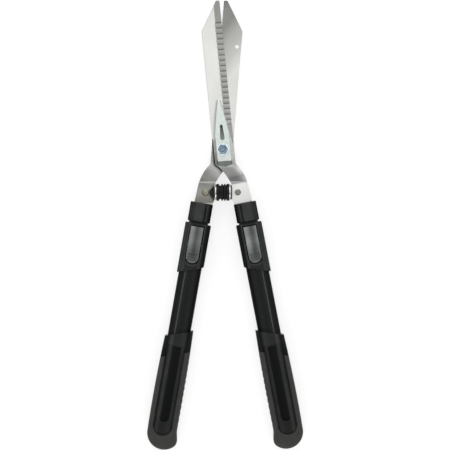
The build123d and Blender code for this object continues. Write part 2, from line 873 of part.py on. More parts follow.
def make_slide_bush(side):
    """The moulded plug in the inner tube's end, whose rim runs in the outer tube."""
    with BuildPart() as bush:
        with BuildSketch(handle_section(side, inner_end)):
            tube_profile(tube_wall + slide_gap + inner_wall)
        extrude(amount=-bush_plug)
        with BuildSketch(handle_section(side, inner_end)):
            tube_profile(tube_wall + bush_gap)
        extrude(amount=bush_rim)
    return bush.part


def make_outer_tube(side):
    """The anodised tube with fine grooves, windowed for the lock's shoe."""
    with BuildPart() as tube:
        with BuildSketch(handle_section(side, tube_start)):
            tube_profile(0)
            tube_profile(tube_wall, mode=Mode.SUBTRACT)
            with GridLocations(2 * groove_offset, tube_depth, 2, 2):
                Rectangle(groove_side, groove_side, rotation=45, mode=Mode.SUBTRACT)
        extrude(amount=tube_end - tube_start)
        with BuildSketch(handle_deck(side, 0)):
            with Locations((shoe_start + shoe_length / 2, 0)):
                Rectangle(shoe_length + 2 * window_gap, shoe_width + 2 * window_gap)
        extrude(amount=tube_depth, mode=Mode.SUBTRACT)
        with BuildSketch(handle_deck(side, 0)):
            with Locations((screw_place, 0)):
                Circle(screw_radius)
        extrude(amount=-tube_depth, mode=Mode.SUBTRACT)
    return tube.part


def lever_outline(grow):
    """The lock lever's outline: square at the top, round at the thumb end."""
    half = lever_width / 2 + grow
    top = lever_start - grow
    round_start = lever_end - lever_width / 2
    with BuildLine() as outline:
        Polyline((round_start, -half), (top, -half), (top, half), (round_start, half))
        ThreePointArc((round_start, half), (lever_end + grow, 0), (round_start, -half))
    make_face(outline.edges())


def cut_lever_pin(side, radius):
    """Drill a piece across for the lever's pin."""
    with BuildSketch(handle_profile(side)) as hole:
        with Locations((lever_crease, lever_pin_height)):
            Circle(radius)
    extrude(hole.sketch, amount=tube_width, both=True, mode=Mode.SUBTRACT)


def make_lock_housing(side):
    """The moulded housing round the outer tube's upper end, with a well for the lever."""
    half = housing_width / 2
    rise = side * rake * half
    body_height = housing_top + housing_bottom
    tube_half = tube_depth / 2
    with BuildPart() as housing:
        with BuildSketch(handle_deck(side, -housing_bottom)):
            with BuildLine():
                Polyline(
                    (housing_start, -half),
                    (housing_start, half),
                    (housing_middle + rise, half),
                    (housing_middle - rise, -half),
                    close=True,
                )
            make_face()
        extrude(amount=body_height)
        long_edges = housing.edges().filter_by(Axis((0, 0, 0), handle_way(side)))
        fillet(long_edges, radius=housing_corner)
        down_handle = housing.faces().sort_by(Axis((0, 0, 0), handle_way(side)))
        ends = down_handle[0].edges() + down_handle[-1].edges()
        chamfer(ends, length=housing_edge)
        with BuildSketch(handle_deck(side, housing_top)):
            lever_outline(lever_gap + lever_rim)
        extrude(amount=lever_rim_top - housing_top)
        chamfer(housing.faces().sort_by(Axis.Z)[-1].edges(), length=lever_rim * edge_break)
        with BuildSketch(handle_deck(side, tube_half)):
            lever_outline(lever_gap)
        extrude(amount=tube_half, mode=Mode.SUBTRACT)
        with BuildSketch(handle_section(side, 0)):
            tube_profile(tube_wall)
        extrude(amount=far, mode=Mode.SUBTRACT)
        with BuildSketch(handle_section(side, tube_start)):
            tube_profile(0)
        extrude(amount=far, mode=Mode.SUBTRACT)
        cut_lever_pin(side, lever_pin_radius)
        with BuildSketch(handle_deck(side, -housing_bottom)):
            with Locations((screw_place, 0)):
                Circle(screw_radius)
        extrude(amount=housing_bottom, mode=Mode.SUBTRACT)
        with BuildSketch(handle_deck(side, -housing_bottom)):
            with Locations((screw_place, 0)):
                Circle(screw_head_radius)
        extrude(amount=screw_head_height, mode=Mode.SUBTRACT)
    return housing.part


def make_housing_screw(side):
    """The screw from below that holds the housing to the outer tube."""
    head_under = -housing_bottom + screw_recess
    with BuildPart() as screw:
        with BuildSketch(handle_deck(side, head_under)):
            with Locations((screw_place, 0)):
                Circle(screw_head_radius)
        extrude(amount=screw_head_height - screw_recess)
        with BuildSketch(handle_deck(side, head_under)):
            with Locations((screw_place, 0)):
                SlotOverall(screw_cross_span, screw_cross_width)
                SlotOverall(screw_cross_span, screw_cross_width, rotation=90)
        extrude(amount=screw_recess, mode=Mode.SUBTRACT)
        with BuildSketch(handle_deck(side, -housing_bottom + screw_head_height)):
            with Locations((screw_place, 0)):
                Circle(screw_radius)
        extrude(amount=housing_bottom - screw_head_height - tube_depth / 2 + tube_wall)
    return screw.part


def make_lock_lever(side):
    """The rocking lock lever: creased over its pin, with ribs at the thumb end."""
    with BuildPart() as lever:
        with BuildSketch(handle_deck(side, 0)):
            lever_outline(0)
        extrude(amount=lever_crest + overcut)
        with BuildSketch(handle_profile(side)):
            with BuildLine():
                Polyline(
                    (lever_start, lever_under),
                    (lever_start, lever_nose_top),
                    (lever_crease, lever_crest),
                    (lever_end, lever_thumb_top),
                    (lever_end, lever_thumb_under),
                    (lever_crease + lever_pin_radius * 2, lever_under),
                    close=True,
                )
            make_face()
        extrude(amount=lever_width, both=True, mode=Mode.INTERSECT)
        top_faces = lever.faces().sort_by(Axis.Z)[-2:]
        crease = top_faces[0].edges() & top_faces[1].edges()
        chamfer(top_faces.edges() - crease, length=lever_edge)
        knurl_tilt = (lever_crest - lever_thumb_top) / (lever_end - lever_crease)
        first = lever_end - lever_width / 2 - knurl_pitch * (knurl_count - 1) / 2
        with BuildSketch(handle_profile(side)):
            for number in range(knurl_count):
                along = first + number * knurl_pitch
                height = lever_crest - knurl_tilt * (along - lever_crease)
                with Locations((along, height)):
                    Circle(knurl_radius)
        extrude(amount=lever_width / 2 - lever_knurl_margin, both=True, mode=Mode.SUBTRACT)
        cut_lever_pin(side, lever_pin_radius + run_clearance)
    return lever.part


def make_lever_pin(side):
    with BuildPart() as pin:
        with BuildSketch(handle_profile(side)):
            with Locations((lever_crease, lever_pin_height)):
                Circle(lever_pin_radius)
        extrude(amount=lever_width / 2 + lever_gap + lever_rim, both=True)
    return pin.part


def make_lock_shoe(side):
    """The brake shoe under the lever's nose, which grips the inner tube's top."""
    start = inner_depth / 2 + shoe_gap
    with BuildPart() as shoe:
        with BuildSketch(handle_deck(side, start)):
            with Locations((shoe_start + shoe_length / 2, 0)):
                Rectangle(shoe_length, shoe_width)
        extrude(amount=lever_under - start)
    return shoe.part


def make_lever_spring(side):
    """The leaf spring that lifts the thumb end and so presses the shoe down."""
    floor = tube_depth / 2
    thumb_rise = (lever_thumb_under - lever_under) / (lever_end - lever_crease)
    tip = lever_under + thumb_rise * (leaf_end - lever_crease) - leaf_sheet - leaf_gap
    with BuildPart() as spring:
        with BuildSketch(handle_profile(side)):
            with BuildLine():
                Polyline(
                    (leaf_start, floor),
                    (leaf_bend, floor),
                    (leaf_end, tip),
                    (leaf_end, tip + leaf_sheet),
                    (leaf_bend, floor + leaf_sheet),
                    (leaf_start, floor + leaf_sheet),
                    close=True,
                )
            make_face()
        extrude(amount=leaf_width / 2, both=True)
    return spring.part


def grip_outline(side, inset):
    """The grip's outline, drawn in by an amount, as the current sketch."""

    def at(along, out):
        return (along, side * out)

    top_rise = rake * grip_top_half
    upper_out = at(grip_middle + top_rise, grip_top_half)
    upper_in = at(grip_middle - top_rise, -grip_top_half)
    butt_start = at(butt_centre[0], butt_centre[1] + butt_radius)
    butt_end = at(butt_centre[0] + butt_radius, butt_centre[1])
    toe_in = (butt_radius**2 - (butt_toe - butt_centre[0]) ** 2) ** 0.5 - butt_centre[1]
    toe = at(butt_toe, -toe_in)
    waist = at(grip_waist[0], -grip_waist[1])
    with BuildLine() as outline:
        ThreePointArc(upper_out, at(*grip_swell), butt_start)
        ThreePointArc(butt_start, butt_end, toe)
        Line(toe, waist)
        ThreePointArc(waist, at(grip_swell[0], -grip_swell[1]), upper_in)
        Line(upper_in, upper_out)
    make_face(outline.edges())
    fillet(nearest(vertices(), (*toe, 0)), radius=butt_toe_radius)
    fillet(nearest(vertices(), (*waist, 0)), radius=grip_blend)
    fillet(nearest(vertices(), (*butt_start, 0)), radius=2 * grip_blend)
    if inset:
        offset(amount=-inset, kind=Kind.INTERSECTION)


def make_grip_form(side, inset):
    """The whole rounded body of the grip, drawn in by an amount all round."""
    half = grip_half_depth - inset
    with BuildPart() as form:
        with BuildSketch(handle_deck(side, -half)):
            grip_outline(side, inset)
        extrude(amount=2 * half)
        down_handle = Axis((0, 0, 0), handle_way(side))
        raked_end = form.faces().sort_by(down_handle)[0].edges()
        by_height = form.faces().sort_by(Axis.Z)
        rims = by_height[0].edges() + by_height[-1].edges()
        fillet(rims - raked_end, radius=grip_edge - inset)
    return form.part


def below_band(side):
    """The outline of all that lies further down the handle than the grip's bare band."""
    half = grip_half_depth * 2
    start = grip_middle + band_length
    rise = side * rake * half
    corners = ((start + rise, half), (start - rise, -half), (far, -half), (far, half))
    with BuildSketch(handle_deck(side, 0)) as outline:
        Polygon(*corners, align=None)
    return outline.sketch


def cut_window(side, start, end, width, depth):
    """Cut a square-topped, round-bottomed window into the grip's front, to a depth."""
    half = width / 2
    with BuildSketch(handle_deck(side, grip_half_depth - depth)) as window:
        with BuildLine():
            Polyline((end - half, -half), (start, -half), (start, half), (end - half, half))
            ThreePointArc((end - half, half), (end, 0), (end - half, -half))
        make_face()
    extrude(window.sketch, amount=depth, mode=Mode.SUBTRACT)


def make_grip_core(side):
    """The hard core of the grip: a full-size band above, then drawn in under the rubber."""
    with BuildPart() as core:
        add(make_grip_form(side, 0))
        extrude(below_band(side), amount=grip_half_depth, both=True, mode=Mode.SUBTRACT)
        add(make_grip_form(side, sleeve_thickness))
        cut_window(side, window_start, window_end, window_width, sleeve_thickness)
        cut_window(side, panel_start, panel_end, panel_width, grip_half_depth)
        with BuildSketch(handle_section(side, 0)):
            tube_profile(0)
        extrude(amount=tube_end, mode=Mode.SUBTRACT)
    return core.part


def make_grip_sleeve(side):
    """The rubber over the core's back, sides and butt, dimpled on the finger side."""
    finger_out = grip_swell[1] + finger_radius - finger_depth
    with BuildPart() as sleeve:
        add(make_grip_form(side, 0))
        extrude(below_band(side), amount=grip_half_depth, both=True, mode=Mode.INTERSECT)
        add(make_grip_form(side, sleeve_thickness), mode=Mode.SUBTRACT)
        cut_window(side, window_start, window_end, window_width, sleeve_thickness)
        with BuildSketch(handle_deck(side, 0)):
            for number in range(finger_count):
                with Locations((finger_start + number * finger_pitch, -side * finger_out)):
                    Circle(finger_radius)
        extrude(amount=grip_half_depth, both=True, mode=Mode.SUBTRACT)
    return sleeve.part


# ---------------------------------------------------------------- assembly
pieces = {
    "front_blade": make_blade(1),
    "rear_blade": make_blade(-1),
    "pivot_bolt": make_pivot_bolt(),
    "disc_spring": make_disc_spring(),
    "tension_plate": make_tension_plate(),
    "pivot_washer": make_pivot_washer(),
    "pivot_nut": make_pivot_nut(),
    "bumper_seat": make_bumper_seat(),
    "bumper_stud": make_bumper_stud(),
    "bumper_washer_left": make_bumper_washer(rubber_start - bumper_washer_height),
    "bumper_washer_right": make_bumper_washer(rubber_end),
    "bumper_rubber": make_bumper_rubber(),
    "bumper_stop": make_bumper_stop(),
    "seat_rivet": make_seat_rivet(),
    "stop_bolt": make_stop_bolt(),
    "stop_nut": make_stop_nut(),
}
handle_makers = {
    "collar": make_collar,
    "inner_tube": make_inner_tube,
    "tang_insert": make_tang_insert,
    "tang_pins": make_tang_pins,
    "slide_bush": make_slide_bush,
    "outer_tube": make_outer_tube,
    "lock_housing": make_lock_housing,
    "housing_screw": make_housing_screw,
    "lock_lever": make_lock_lever,
    "lever_pin": make_lever_pin,
    "lock_shoe": make_lock_shoe,
    "lever_spring": make_lever_spring,
    "grip_core": make_grip_core,
    "grip_sleeve": make_grip_sleeve,
}
for name, side in SIDES.items():
    for piece, maker in handle_makers.items():
        pieces[f"{name}_{piece}"] = maker(side)

box = Compound(list(pieces.values())).bounding_box()
to_origin = Location((-box.center().X, -box.center().Y, -box.min.Z))
os.makedirs("parts", exist_ok=True)
for name, piece in pieces.items():
    placed = piece.moved(to_origin)
    placed.label = name
    export_step(placed, f"parts/{name}.step")
print("whole tool", box.size, "pivot at", to_origin.position)
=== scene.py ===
"""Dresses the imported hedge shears: their finishes, the moulded rubber pieces, the stage and the camera.

Everything is in metres in the shears' own frame: +Y from the grips to the blade tips, +Z up, with the tool
lying flat on the floor. Sizes in the classes are given in millimetres, as a toolmaker would write them.
"""

import logging
from dataclasses import dataclass, replace
from enum import Enum
from math import cos, pi, radians, sin
from typing import Any, Iterable

import bmesh
import bpy
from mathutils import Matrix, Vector


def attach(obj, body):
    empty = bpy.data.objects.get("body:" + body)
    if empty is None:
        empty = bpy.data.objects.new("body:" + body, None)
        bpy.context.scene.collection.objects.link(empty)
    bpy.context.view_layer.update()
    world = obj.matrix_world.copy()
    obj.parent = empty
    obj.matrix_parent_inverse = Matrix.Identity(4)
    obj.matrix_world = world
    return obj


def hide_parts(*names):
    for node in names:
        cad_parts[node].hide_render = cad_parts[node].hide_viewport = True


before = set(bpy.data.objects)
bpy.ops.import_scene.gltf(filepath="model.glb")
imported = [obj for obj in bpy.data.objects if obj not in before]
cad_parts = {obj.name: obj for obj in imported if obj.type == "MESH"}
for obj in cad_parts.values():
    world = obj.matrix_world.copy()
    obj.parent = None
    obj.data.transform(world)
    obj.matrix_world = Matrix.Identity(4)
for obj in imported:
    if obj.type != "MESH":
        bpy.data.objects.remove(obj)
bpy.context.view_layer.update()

MM = 0.001
PIVOT = Vector((0.0, 0.11264, 0.0165))
HANDLE_START = PIVOT + Vector((0.032, -0.080, 0.0))  # right collar's upper end, on the handle's axis
RAKE = radians(10.4)  # the handles' lean off the centre line
BLADE_LEAN = 5.25  # the cutting edges' lean off the centre line, in degrees
GRIP_WINDOW_END = 0.3373  # collar's upper end to the centre of the grip window's round end
WHITE = "#ffffff"
Tree = bpy.types.NodeTree
Node = bpy.types.Node
Socket = bpy.types.NodeSocket
Tones = tuple[tuple[float, str], ...]
Triple = tuple[float, float, float]
logger = logging.getLogger("shears")


# ---------------------------- shader helpers
def linear(hex_colour: str) -> tuple[float, float, float, float]:
    """Turns an sRGB hex colour into the linear colour that a shader takes.

    Args:
        hex_colour: The colour as "#rrggbb".

    Returns:
        Linear red, green and blue, and an alpha of 1.
    """
    channels = (int(hex_colour[i : i + 2], 16) / 255 for i in (1, 3, 5))
    red, green, blue = (c / 12.92 if c <= 0.04045 else ((c + 0.055) / 1.055) ** 2.4 for c in channels)
    return (red, green, blue, 1.0)


def add_node(tree: Tree, kind: str, inputs: dict[str | int, Any] | None = None, **settings: Any) -> Node:
    """Adds one shader node.

    Args:
        tree: The node tree that takes the node.
        kind: The node's type, such as "ShaderNodeTexNoise".
        inputs: What its inputs take, by name or number: another node's output, or a plain value.
        settings: Properties of the node itself.

    Returns:
        The new node.
    """
    node = tree.nodes.new(kind)
    for name, value in settings.items():
        setattr(node, name, value)
    for name, value in (inputs or {}).items():
        if isinstance(value, Socket):
            tree.links.new(value, node.inputs[name])
        else:
            node.inputs[name].default_value = value
    return node


def plain(tree: Tree, colour: str) -> Socket:
    """The same sRGB hex colour everywhere.

    Args:
        tree: The node tree.
        colour: The colour.

    Returns:
        The colour output.
    """
    even = add_node(tree, "ShaderNodeRGB").outputs["Color"]
    even.default_value = linear(colour)
    return even


def ramp(tree: Tree, factor: Socket, stops: Iterable[tuple[float, str]]) -> Socket:
    """Adds a colour ramp.

    Args:
        tree: The node tree that takes the ramp.
        factor: The socket that drives it.
        stops: Positions from 0 to 1, each with its sRGB hex colour.

    Returns:
        The ramp's colour output.
    """
    node = add_node(tree, "ShaderNodeValToRGB", {"Fac": factor})
    elements = node.color_ramp.elements
    listed = list(stops)
    while len(elements) < len(listed):
        elements.new(0.5)
    for element, (position, colour) in zip(elements, listed):
        element.position = position
        element.color = linear(colour)
    return node.outputs["Color"]


def blend(tree: Tree, base: Socket, top: Socket, mode: str, factor: float | Socket = 1.0) -> Socket:
    """Lays a colour over another by one of Blender's blend types, such as "MULTIPLY"."""
    inputs = {"Factor": factor, "A": base, "B": top}
    return add_node(tree, "ShaderNodeMix", inputs, data_type="RGBA", blend_type=mode).outputs["Result"]


def patch(tree: Tree, base: Socket, mask: Socket, colour: str) -> Socket:
    """Lays a plain colour over another where a mask is 1."""
    return blend(tree, base, plain(tree, colour), "MIX", mask)


def faded(tree: Tree, pattern: Socket, colour: str) -> Socket:
    """A colour where a cloudy pattern is low, which fades to white where it is high."""
    return ramp(tree, pattern, ((0.35, colour), (0.65, WHITE)))


def noise(tree: Tree, place: Socket, scale: float, detail: float, roughness: float = 0.5) -> Socket:
    """A cloudy pattern from 0 to 1, with so many clouds for each grain and so many finer layers."""
    inputs = {"Vector": place, "Scale": scale, "Detail": detail, "Roughness": roughness}
    return add_node(tree, "ShaderNodeTexNoise", inputs).outputs["Fac"]


def map_range(
    tree: Tree, value: Socket, target: tuple[float, float], source: tuple[float, float] = (0.0, 1.0)
) -> Socket:
    """Maps a value from the source range to the target range, and holds it at the ends.

    Args:
        tree: The node tree.
        value: The value.
        target: The results at the source range's two ends.
        source: The values that give them.

    Returns:
        The result.
    """
    inputs = {"Value": value, "From Min": source[0], "From Max": source[1]}
    inputs |= {"To Min": target[0], "To Max": target[1]}
    return add_node(tree, "ShaderNodeMapRange", inputs).outputs["Result"]


def calculate(
    tree: Tree, operation: str, first: Socket, second: float | Socket = 0.0, third: float = 0.0
) -> Socket:
    """Adds one calculation, by Blender's name for it, such as "MULTIPLY"."""
    return add_node(tree, "ShaderNodeMath", {0: first, 1: second, 2: third}, operation=operation).outputs[0]


def vector_math(tree: Tree, operation: str, first: Socket, second: Triple = (0.0, 0.0, 0.0)) -> Node:
    """Adds one calculation with vectors, such as "ADD", and leaves the choice of output to the caller."""
    return add_node(tree, "ShaderNodeVectorMath", {0: first, 1: second}, operation=operation)


def within(tree: Tree, value: Socket, low: float, high: float) -> Socket:
    """1 where a value lies between two limits, and 0 elsewhere."""
    return calculate(tree, "COMPARE", value, (low + high) / 2, (high - low) / 2)


def distance(tree: Tree, across: Socket, along: Socket) -> Socket:
    """How far a place is from the origin of two level measures."""
    flat = add_node(tree, "ShaderNodeCombineXYZ", {"X": across, "Y": along})
    return vector_math(tree, "LENGTH", flat.outputs["Vector"]).outputs["Value"]


def levelness(tree: Tree) -> Socket:
    """How level a surface is: 1 where it faces straight up or down, 0 on a wall."""
    facing = {"Vector": add_node(tree, "ShaderNodeNewGeometry").outputs["True Normal"]}
    return calculate(tree, "ABSOLUTE", add_node(tree, "ShaderNodeSeparateXYZ", facing).outputs["Z"])


# ---------------------------- places on the tool
@dataclass(frozen=True)
class Line:
    """A straight line that places are measured along, whatever the surface.

    Attributes:
        start: Where it starts, in metres.
        way: Its direction, a unit vector.
        mirrored: Whether the tool's left half is measured as the mirror image of its right half.
    """

    start: Triple
    way: Triple
    mirrored: bool = False

    def millimetres(self, tree: Tree) -> Socket:
        """The distance along the line from its start, in millimetres.

        Args:
            tree: The node tree.

        Returns:
            The distance.
        """
        place = add_node(tree, "ShaderNodeTexCoord").outputs["Object"]
        if self.mirrored:
            parts = add_node(tree, "ShaderNodeSeparateXYZ", {"Vector": place}).outputs
            folded = {"X": calculate(tree, "ABSOLUTE", parts["X"]), "Y": parts["Y"], "Z": parts["Z"]}
            place = add_node(tree, "ShaderNodeCombineXYZ", folded).outputs["Vector"]
        way = Vector(self.way)
        along = vector_math(tree, "DOT_PRODUCT", place, way / MM).outputs["Value"]
        return calculate(tree, "SUBTRACT", along, way.dot(Vector(self.start)) / MM)


@dataclass(frozen=True)
class Rings:
    """Level circles about a place on the right handle and its mirror image on the left one.

    Attributes:
        centre: The place, in metres.
    """

    centre: Triple

    def millimetres(self, tree: Tree) -> Socket:
        """The level distance from the centre, in millimetres.

        Args:
            tree: The node tree.

        Returns:
            The distance.
        """
        across = Line(self.centre, (1.0, 0.0, 0.0), mirrored=True).millimetres(tree)
        along = Line(self.centre, (0.0, 1.0, 0.0), mirrored=True).millimetres(tree)
        return distance(tree, across, along)


@dataclass(frozen=True)
class Run:
    """Tones that follow one another along a line.

    Attributes:
        line: The line that they follow.
        tones: Places in millimetres along it, each with the sRGB hex colour there.
        span: Heights up the tool from the pivot, in millimetres, outside which the tone is white.
    """

    line: Line | Rings
    tones: Tones
    span: tuple[float, float] | None = None

    def colour(self, tree: Tree) -> Socket:
        """The colour at each place, run smoothly from tone to tone.

        Args:
            tree: The node tree.

        Returns:
            The colour.
        """
        first, last = self.tones[0][0], self.tones[-1][0]
        share = map_range(tree, self.line.millimetres(tree), (0.0, 1.0), (first, last))
        tone = ramp(tree, share, (((at - first) / (last - first), colour) for at, colour in self.tones))
        if self.span is None:
            return tone
        inside = within(tree, UP_THE_TOOL.millimetres(tree), *self.span)
        return blend(tree, plain(tree, WHITE), tone, "MIX", inside)


def multiplied(tree: Tree, runs: tuple[Run, ...]) -> Socket:
    """The product of several runs' colours.

    Args:
        tree: The node tree.
        runs: The runs, one or more.

    Returns:
        The product.
    """
    tone = runs[0].colour(tree)
    for run in runs[1:]:
        tone = blend(tree, tone, run.colour(tree), "MULTIPLY")
    return tone


def leaning(degrees: float) -> Line:
    """A line from the pivot that leans off the centre line, anticlockwise from above."""
    return Line(tuple(PIVOT), (-sin(radians(degrees)), cos(radians(degrees)), 0.0))


UP_THE_TOOL = leaning(0.0)
ACROSS_THE_TOOL = leaning(-90.0)
ALONG_EDGE = leaning(BLADE_LEAN)
OVER_THE_TOOL = Line((0.0, 0.0, 0.0), (0.0, 0.0, 1.0))
DOWN_HANDLE = Line(tuple(HANDLE_START), (sin(RAKE), -cos(RAKE), 0.0), mirrored=True)
ACROSS_HANDLE = Line(tuple(HANDLE_START), (cos(RAKE), sin(RAKE), 0.0), mirrored=True)


# ---------------------------- kinds of finish
@dataclass(frozen=True)
class Finish:
    """What every finish has: a base colour and how smooth the surface is.

    Attributes:
        name: The material's name.
        colour: sRGB hex colour of the clean surface.
        roughness: Microscopic roughness, 0 for a mirror.
        grain_mm: Distance between the surface pattern's features.
        relief_mm: Height of the surface pattern.
        turn: Angle of the pattern about Z, in degrees, from the tool's centre line.
        gloss_spread: The least and the most that the pattern adds to the roughness.
        runs: Tones over the piece, mostly painted light and shade: the first in full colour and the others as
            shares of it.
        wall_shade_runs: Painted shade and light on the piece's steep faces, if they differ.
        wall_level: Levelness below which a face counts as steep.
    """

    name: str
    colour: str
    roughness: float
    grain_mm: float = 1.0
    relief_mm: float = 0.01
    turn: float = 0.0
    gloss_spread: tuple[float, float] = (-0.05, 0.06)
    runs: tuple[Run, ...] = ()
    wall_shade_runs: tuple[Run, ...] = ()
    wall_level: float = 0.9

    def material(self) -> bpy.types.Material:
        """Makes the material the first time that it is asked for.

        Returns:
            The material.
        """
        made = bpy.data.materials.get(self.name)
        if made:
            return made
        made = bpy.data.materials.new(self.name)
        made.use_nodes = True
        shader = made.node_tree.nodes["Principled BSDF"]
        shader.inputs["Base Color"].default_value = linear(self.colour)
        shader.inputs["Roughness"].default_value = self.roughness
        made.diffuse_color = linear(self.colour)
        self.dress(made.node_tree, shader)
        return made

    def dress(self, tree: Tree, shader: Node) -> None:
        """Adds what the particular finish has; the plain finish adds nothing."""

    def place(self, tree: Tree, stretch: Triple = (1.0, 1.0, 1.0)) -> Socket:
        """Object coordinates turned to the pattern and stretched.

        Args:
            tree: The node tree.
            stretch: Pattern features for each grain length, along X, Y and Z.

        Returns:
            The mapped coordinates, in grains.
        """
        mapped = add_node(tree, "ShaderNodeTexCoord").outputs["Object"]
        scale = tuple(share / (self.grain_mm * MM) for share in stretch)
        for change in ({"Rotation": (0, 0, radians(self.turn))}, {"Scale": scale}):
            mapped = add_node(tree, "ShaderNodeMapping", {"Vector": mapped} | change).outputs["Vector"]
        return mapped

    def steep(self, tree: Tree) -> Socket:
        """1 on the steep faces, and 0 elsewhere."""
        return calculate(tree, "LESS_THAN", levelness(tree), self.wall_level)

    def tinted(self, tree: Tree, worn: Socket | None = None) -> Socket:
        """The surface's colour: its runs of painted light and shade, its wear and its steep faces.

        Args:
            tree: The node tree.
            worn: A colour of wear that multiplies the clean one.

        Returns:
            The colour.
        """
        tone = multiplied(tree, self.runs) if self.runs else plain(tree, self.colour)
        if worn is not None:
            tone = blend(tree, tone, worn, "MULTIPLY")
        if self.wall_shade_runs:
            tone = blend(tree, tone, multiplied(tree, self.wall_shade_runs), "MIX", self.steep(tree))
        return tone

    def vary_gloss(self, tree: Tree, shader: Node, pattern: Socket) -> None:
        """Makes the surface rougher where a pattern is high.

        Args:
            tree: The node tree.
            shader: The surface shader.
            pattern: The pattern, from 0 to 1.
        """
        least, most = self.gloss_spread
        rough = map_range(tree, pattern, (self.roughness + least, self.roughness + most))
        tree.links.new(rough, shader.inputs["Roughness"])

    def emboss(self, tree: Tree, shader: Node, height: Socket, strength: float) -> None:
        """Raises the surface by a share of the finish's relief where a pattern is high."""
        inputs = {"Height": height, "Strength": strength, "Distance": self.relief_mm * MM}
        tree.links.new(add_node(tree, "ShaderNodeBump", inputs).outputs["Normal"], shader.inputs["Normal"])


@dataclass(frozen=True)
class GroundSteel(Finish):
    """Hardened carbon steel, surface ground: a grey mirror broken into fine parallel scratches.

    Attributes:
        edge_shade_colour: sRGB hex colour of the painted shade on the steep faces.
        edge_shade_top_mm: Height up the tool from the pivot below which the steep faces get the painted
            shade.
        painted_shadow_mm: How far from a neighbouring piece the painted shadow reaches.
        painted_shadow_colour: sRGB hex share of the tone left where the painted shadow is darkest.
        painted_shadow_lean: How much more the painted shadow falls left of and below a neighbour than
            elsewhere.
        painted_shadow_fade: Openness of a corner at which the painted shadow is darkest, and at which it is
            gone.
    """

    roughness: float = 0.34
    grain_mm: float = 0.9
    relief_mm: float = 0.02
    gloss_spread: tuple[float, float] = (-0.06, 0.08)
    wall_level: float = 0.85
    edge_shade_colour: str = "#1c1d1b"
    edge_shade_top_mm: float = 16.0
    painted_shadow_mm: float = 5.0
    painted_shadow_colour: str = "#626260"
    painted_shadow_lean: Triple = (0.7, 0.4, 0.0)
    painted_shadow_fade: tuple[float, float] = (0.4, 0.82)

    def dress(self, tree: Tree, shader: Node) -> None:
        """Grinding scratches in the roughness and relief, and painted reflections and shade in the tone along
        the blade.

        Args:
            tree: The node tree.
            shader: The surface shader.
        """
        shader.inputs["Metallic"].default_value = 1.0
        shader.inputs["Anisotropic"].default_value = 0.4
        scratches = noise(tree, self.place(tree, (1.0, 0.03, 1.0)), scale=1.0, detail=3.0, roughness=0.6)
        patches = noise(tree, self.place(tree, (1.0, 0.6, 1.0)), scale=0.04, detail=2.0)
        self.vary_gloss(tree, shader, scratches)
        mottled = map_range(tree, patches, target=(0.95, 1.0), source=(0.3, 0.7))
        tree.links.new(self.with_painted_shade(tree, self.tinted(tree, mottled)), shader.inputs["Base Color"])
        self.emboss(tree, shader, scratches, strength=0.35)

    def tinted(self, tree: Tree, worn: Socket | None = None) -> Socket:
        """The runs, the wear, and a painted shadow in the corners between this piece and its neighbours.

        Args:
            tree: The node tree.
            worn: A colour of wear that multiplies the clean one.

        Returns:
            The colour.
        """
        # Painted shadow: leaned ambient occlusion darkens the surface beside neighbouring pieces, as a cast
        # shadow would.
        surface = add_node(tree, "ShaderNodeNewGeometry").outputs["True Normal"]
        leant = vector_math(tree, "ADD", surface, self.painted_shadow_lean).outputs["Vector"]
        facing = vector_math(tree, "NORMALIZE", leant).outputs["Vector"]
        inputs = {"Normal": facing, "Distance": self.painted_shadow_mm * MM}
        openness = add_node(tree, "ShaderNodeAmbientOcclusion", inputs, samples=8).outputs["AO"]
        darkest_at, gone = self.painted_shadow_fade
        painted_shadow = ramp(tree, openness, ((darkest_at, self.painted_shadow_colour), (gone, WHITE)))
        return blend(tree, super().tinted(tree, worn), painted_shadow, "MULTIPLY")

    def with_painted_shade(self, tree: Tree, tone: Socket) -> Socket:
        """Paints shade on the steep faces from the pivot down."""
        low = calculate(tree, "LESS_THAN", UP_THE_TOOL.millimetres(tree), self.edge_shade_top_mm)
        return patch(tree, tone, calculate(tree, "MULTIPLY", self.steep(tree), low), self.edge_shade_colour)


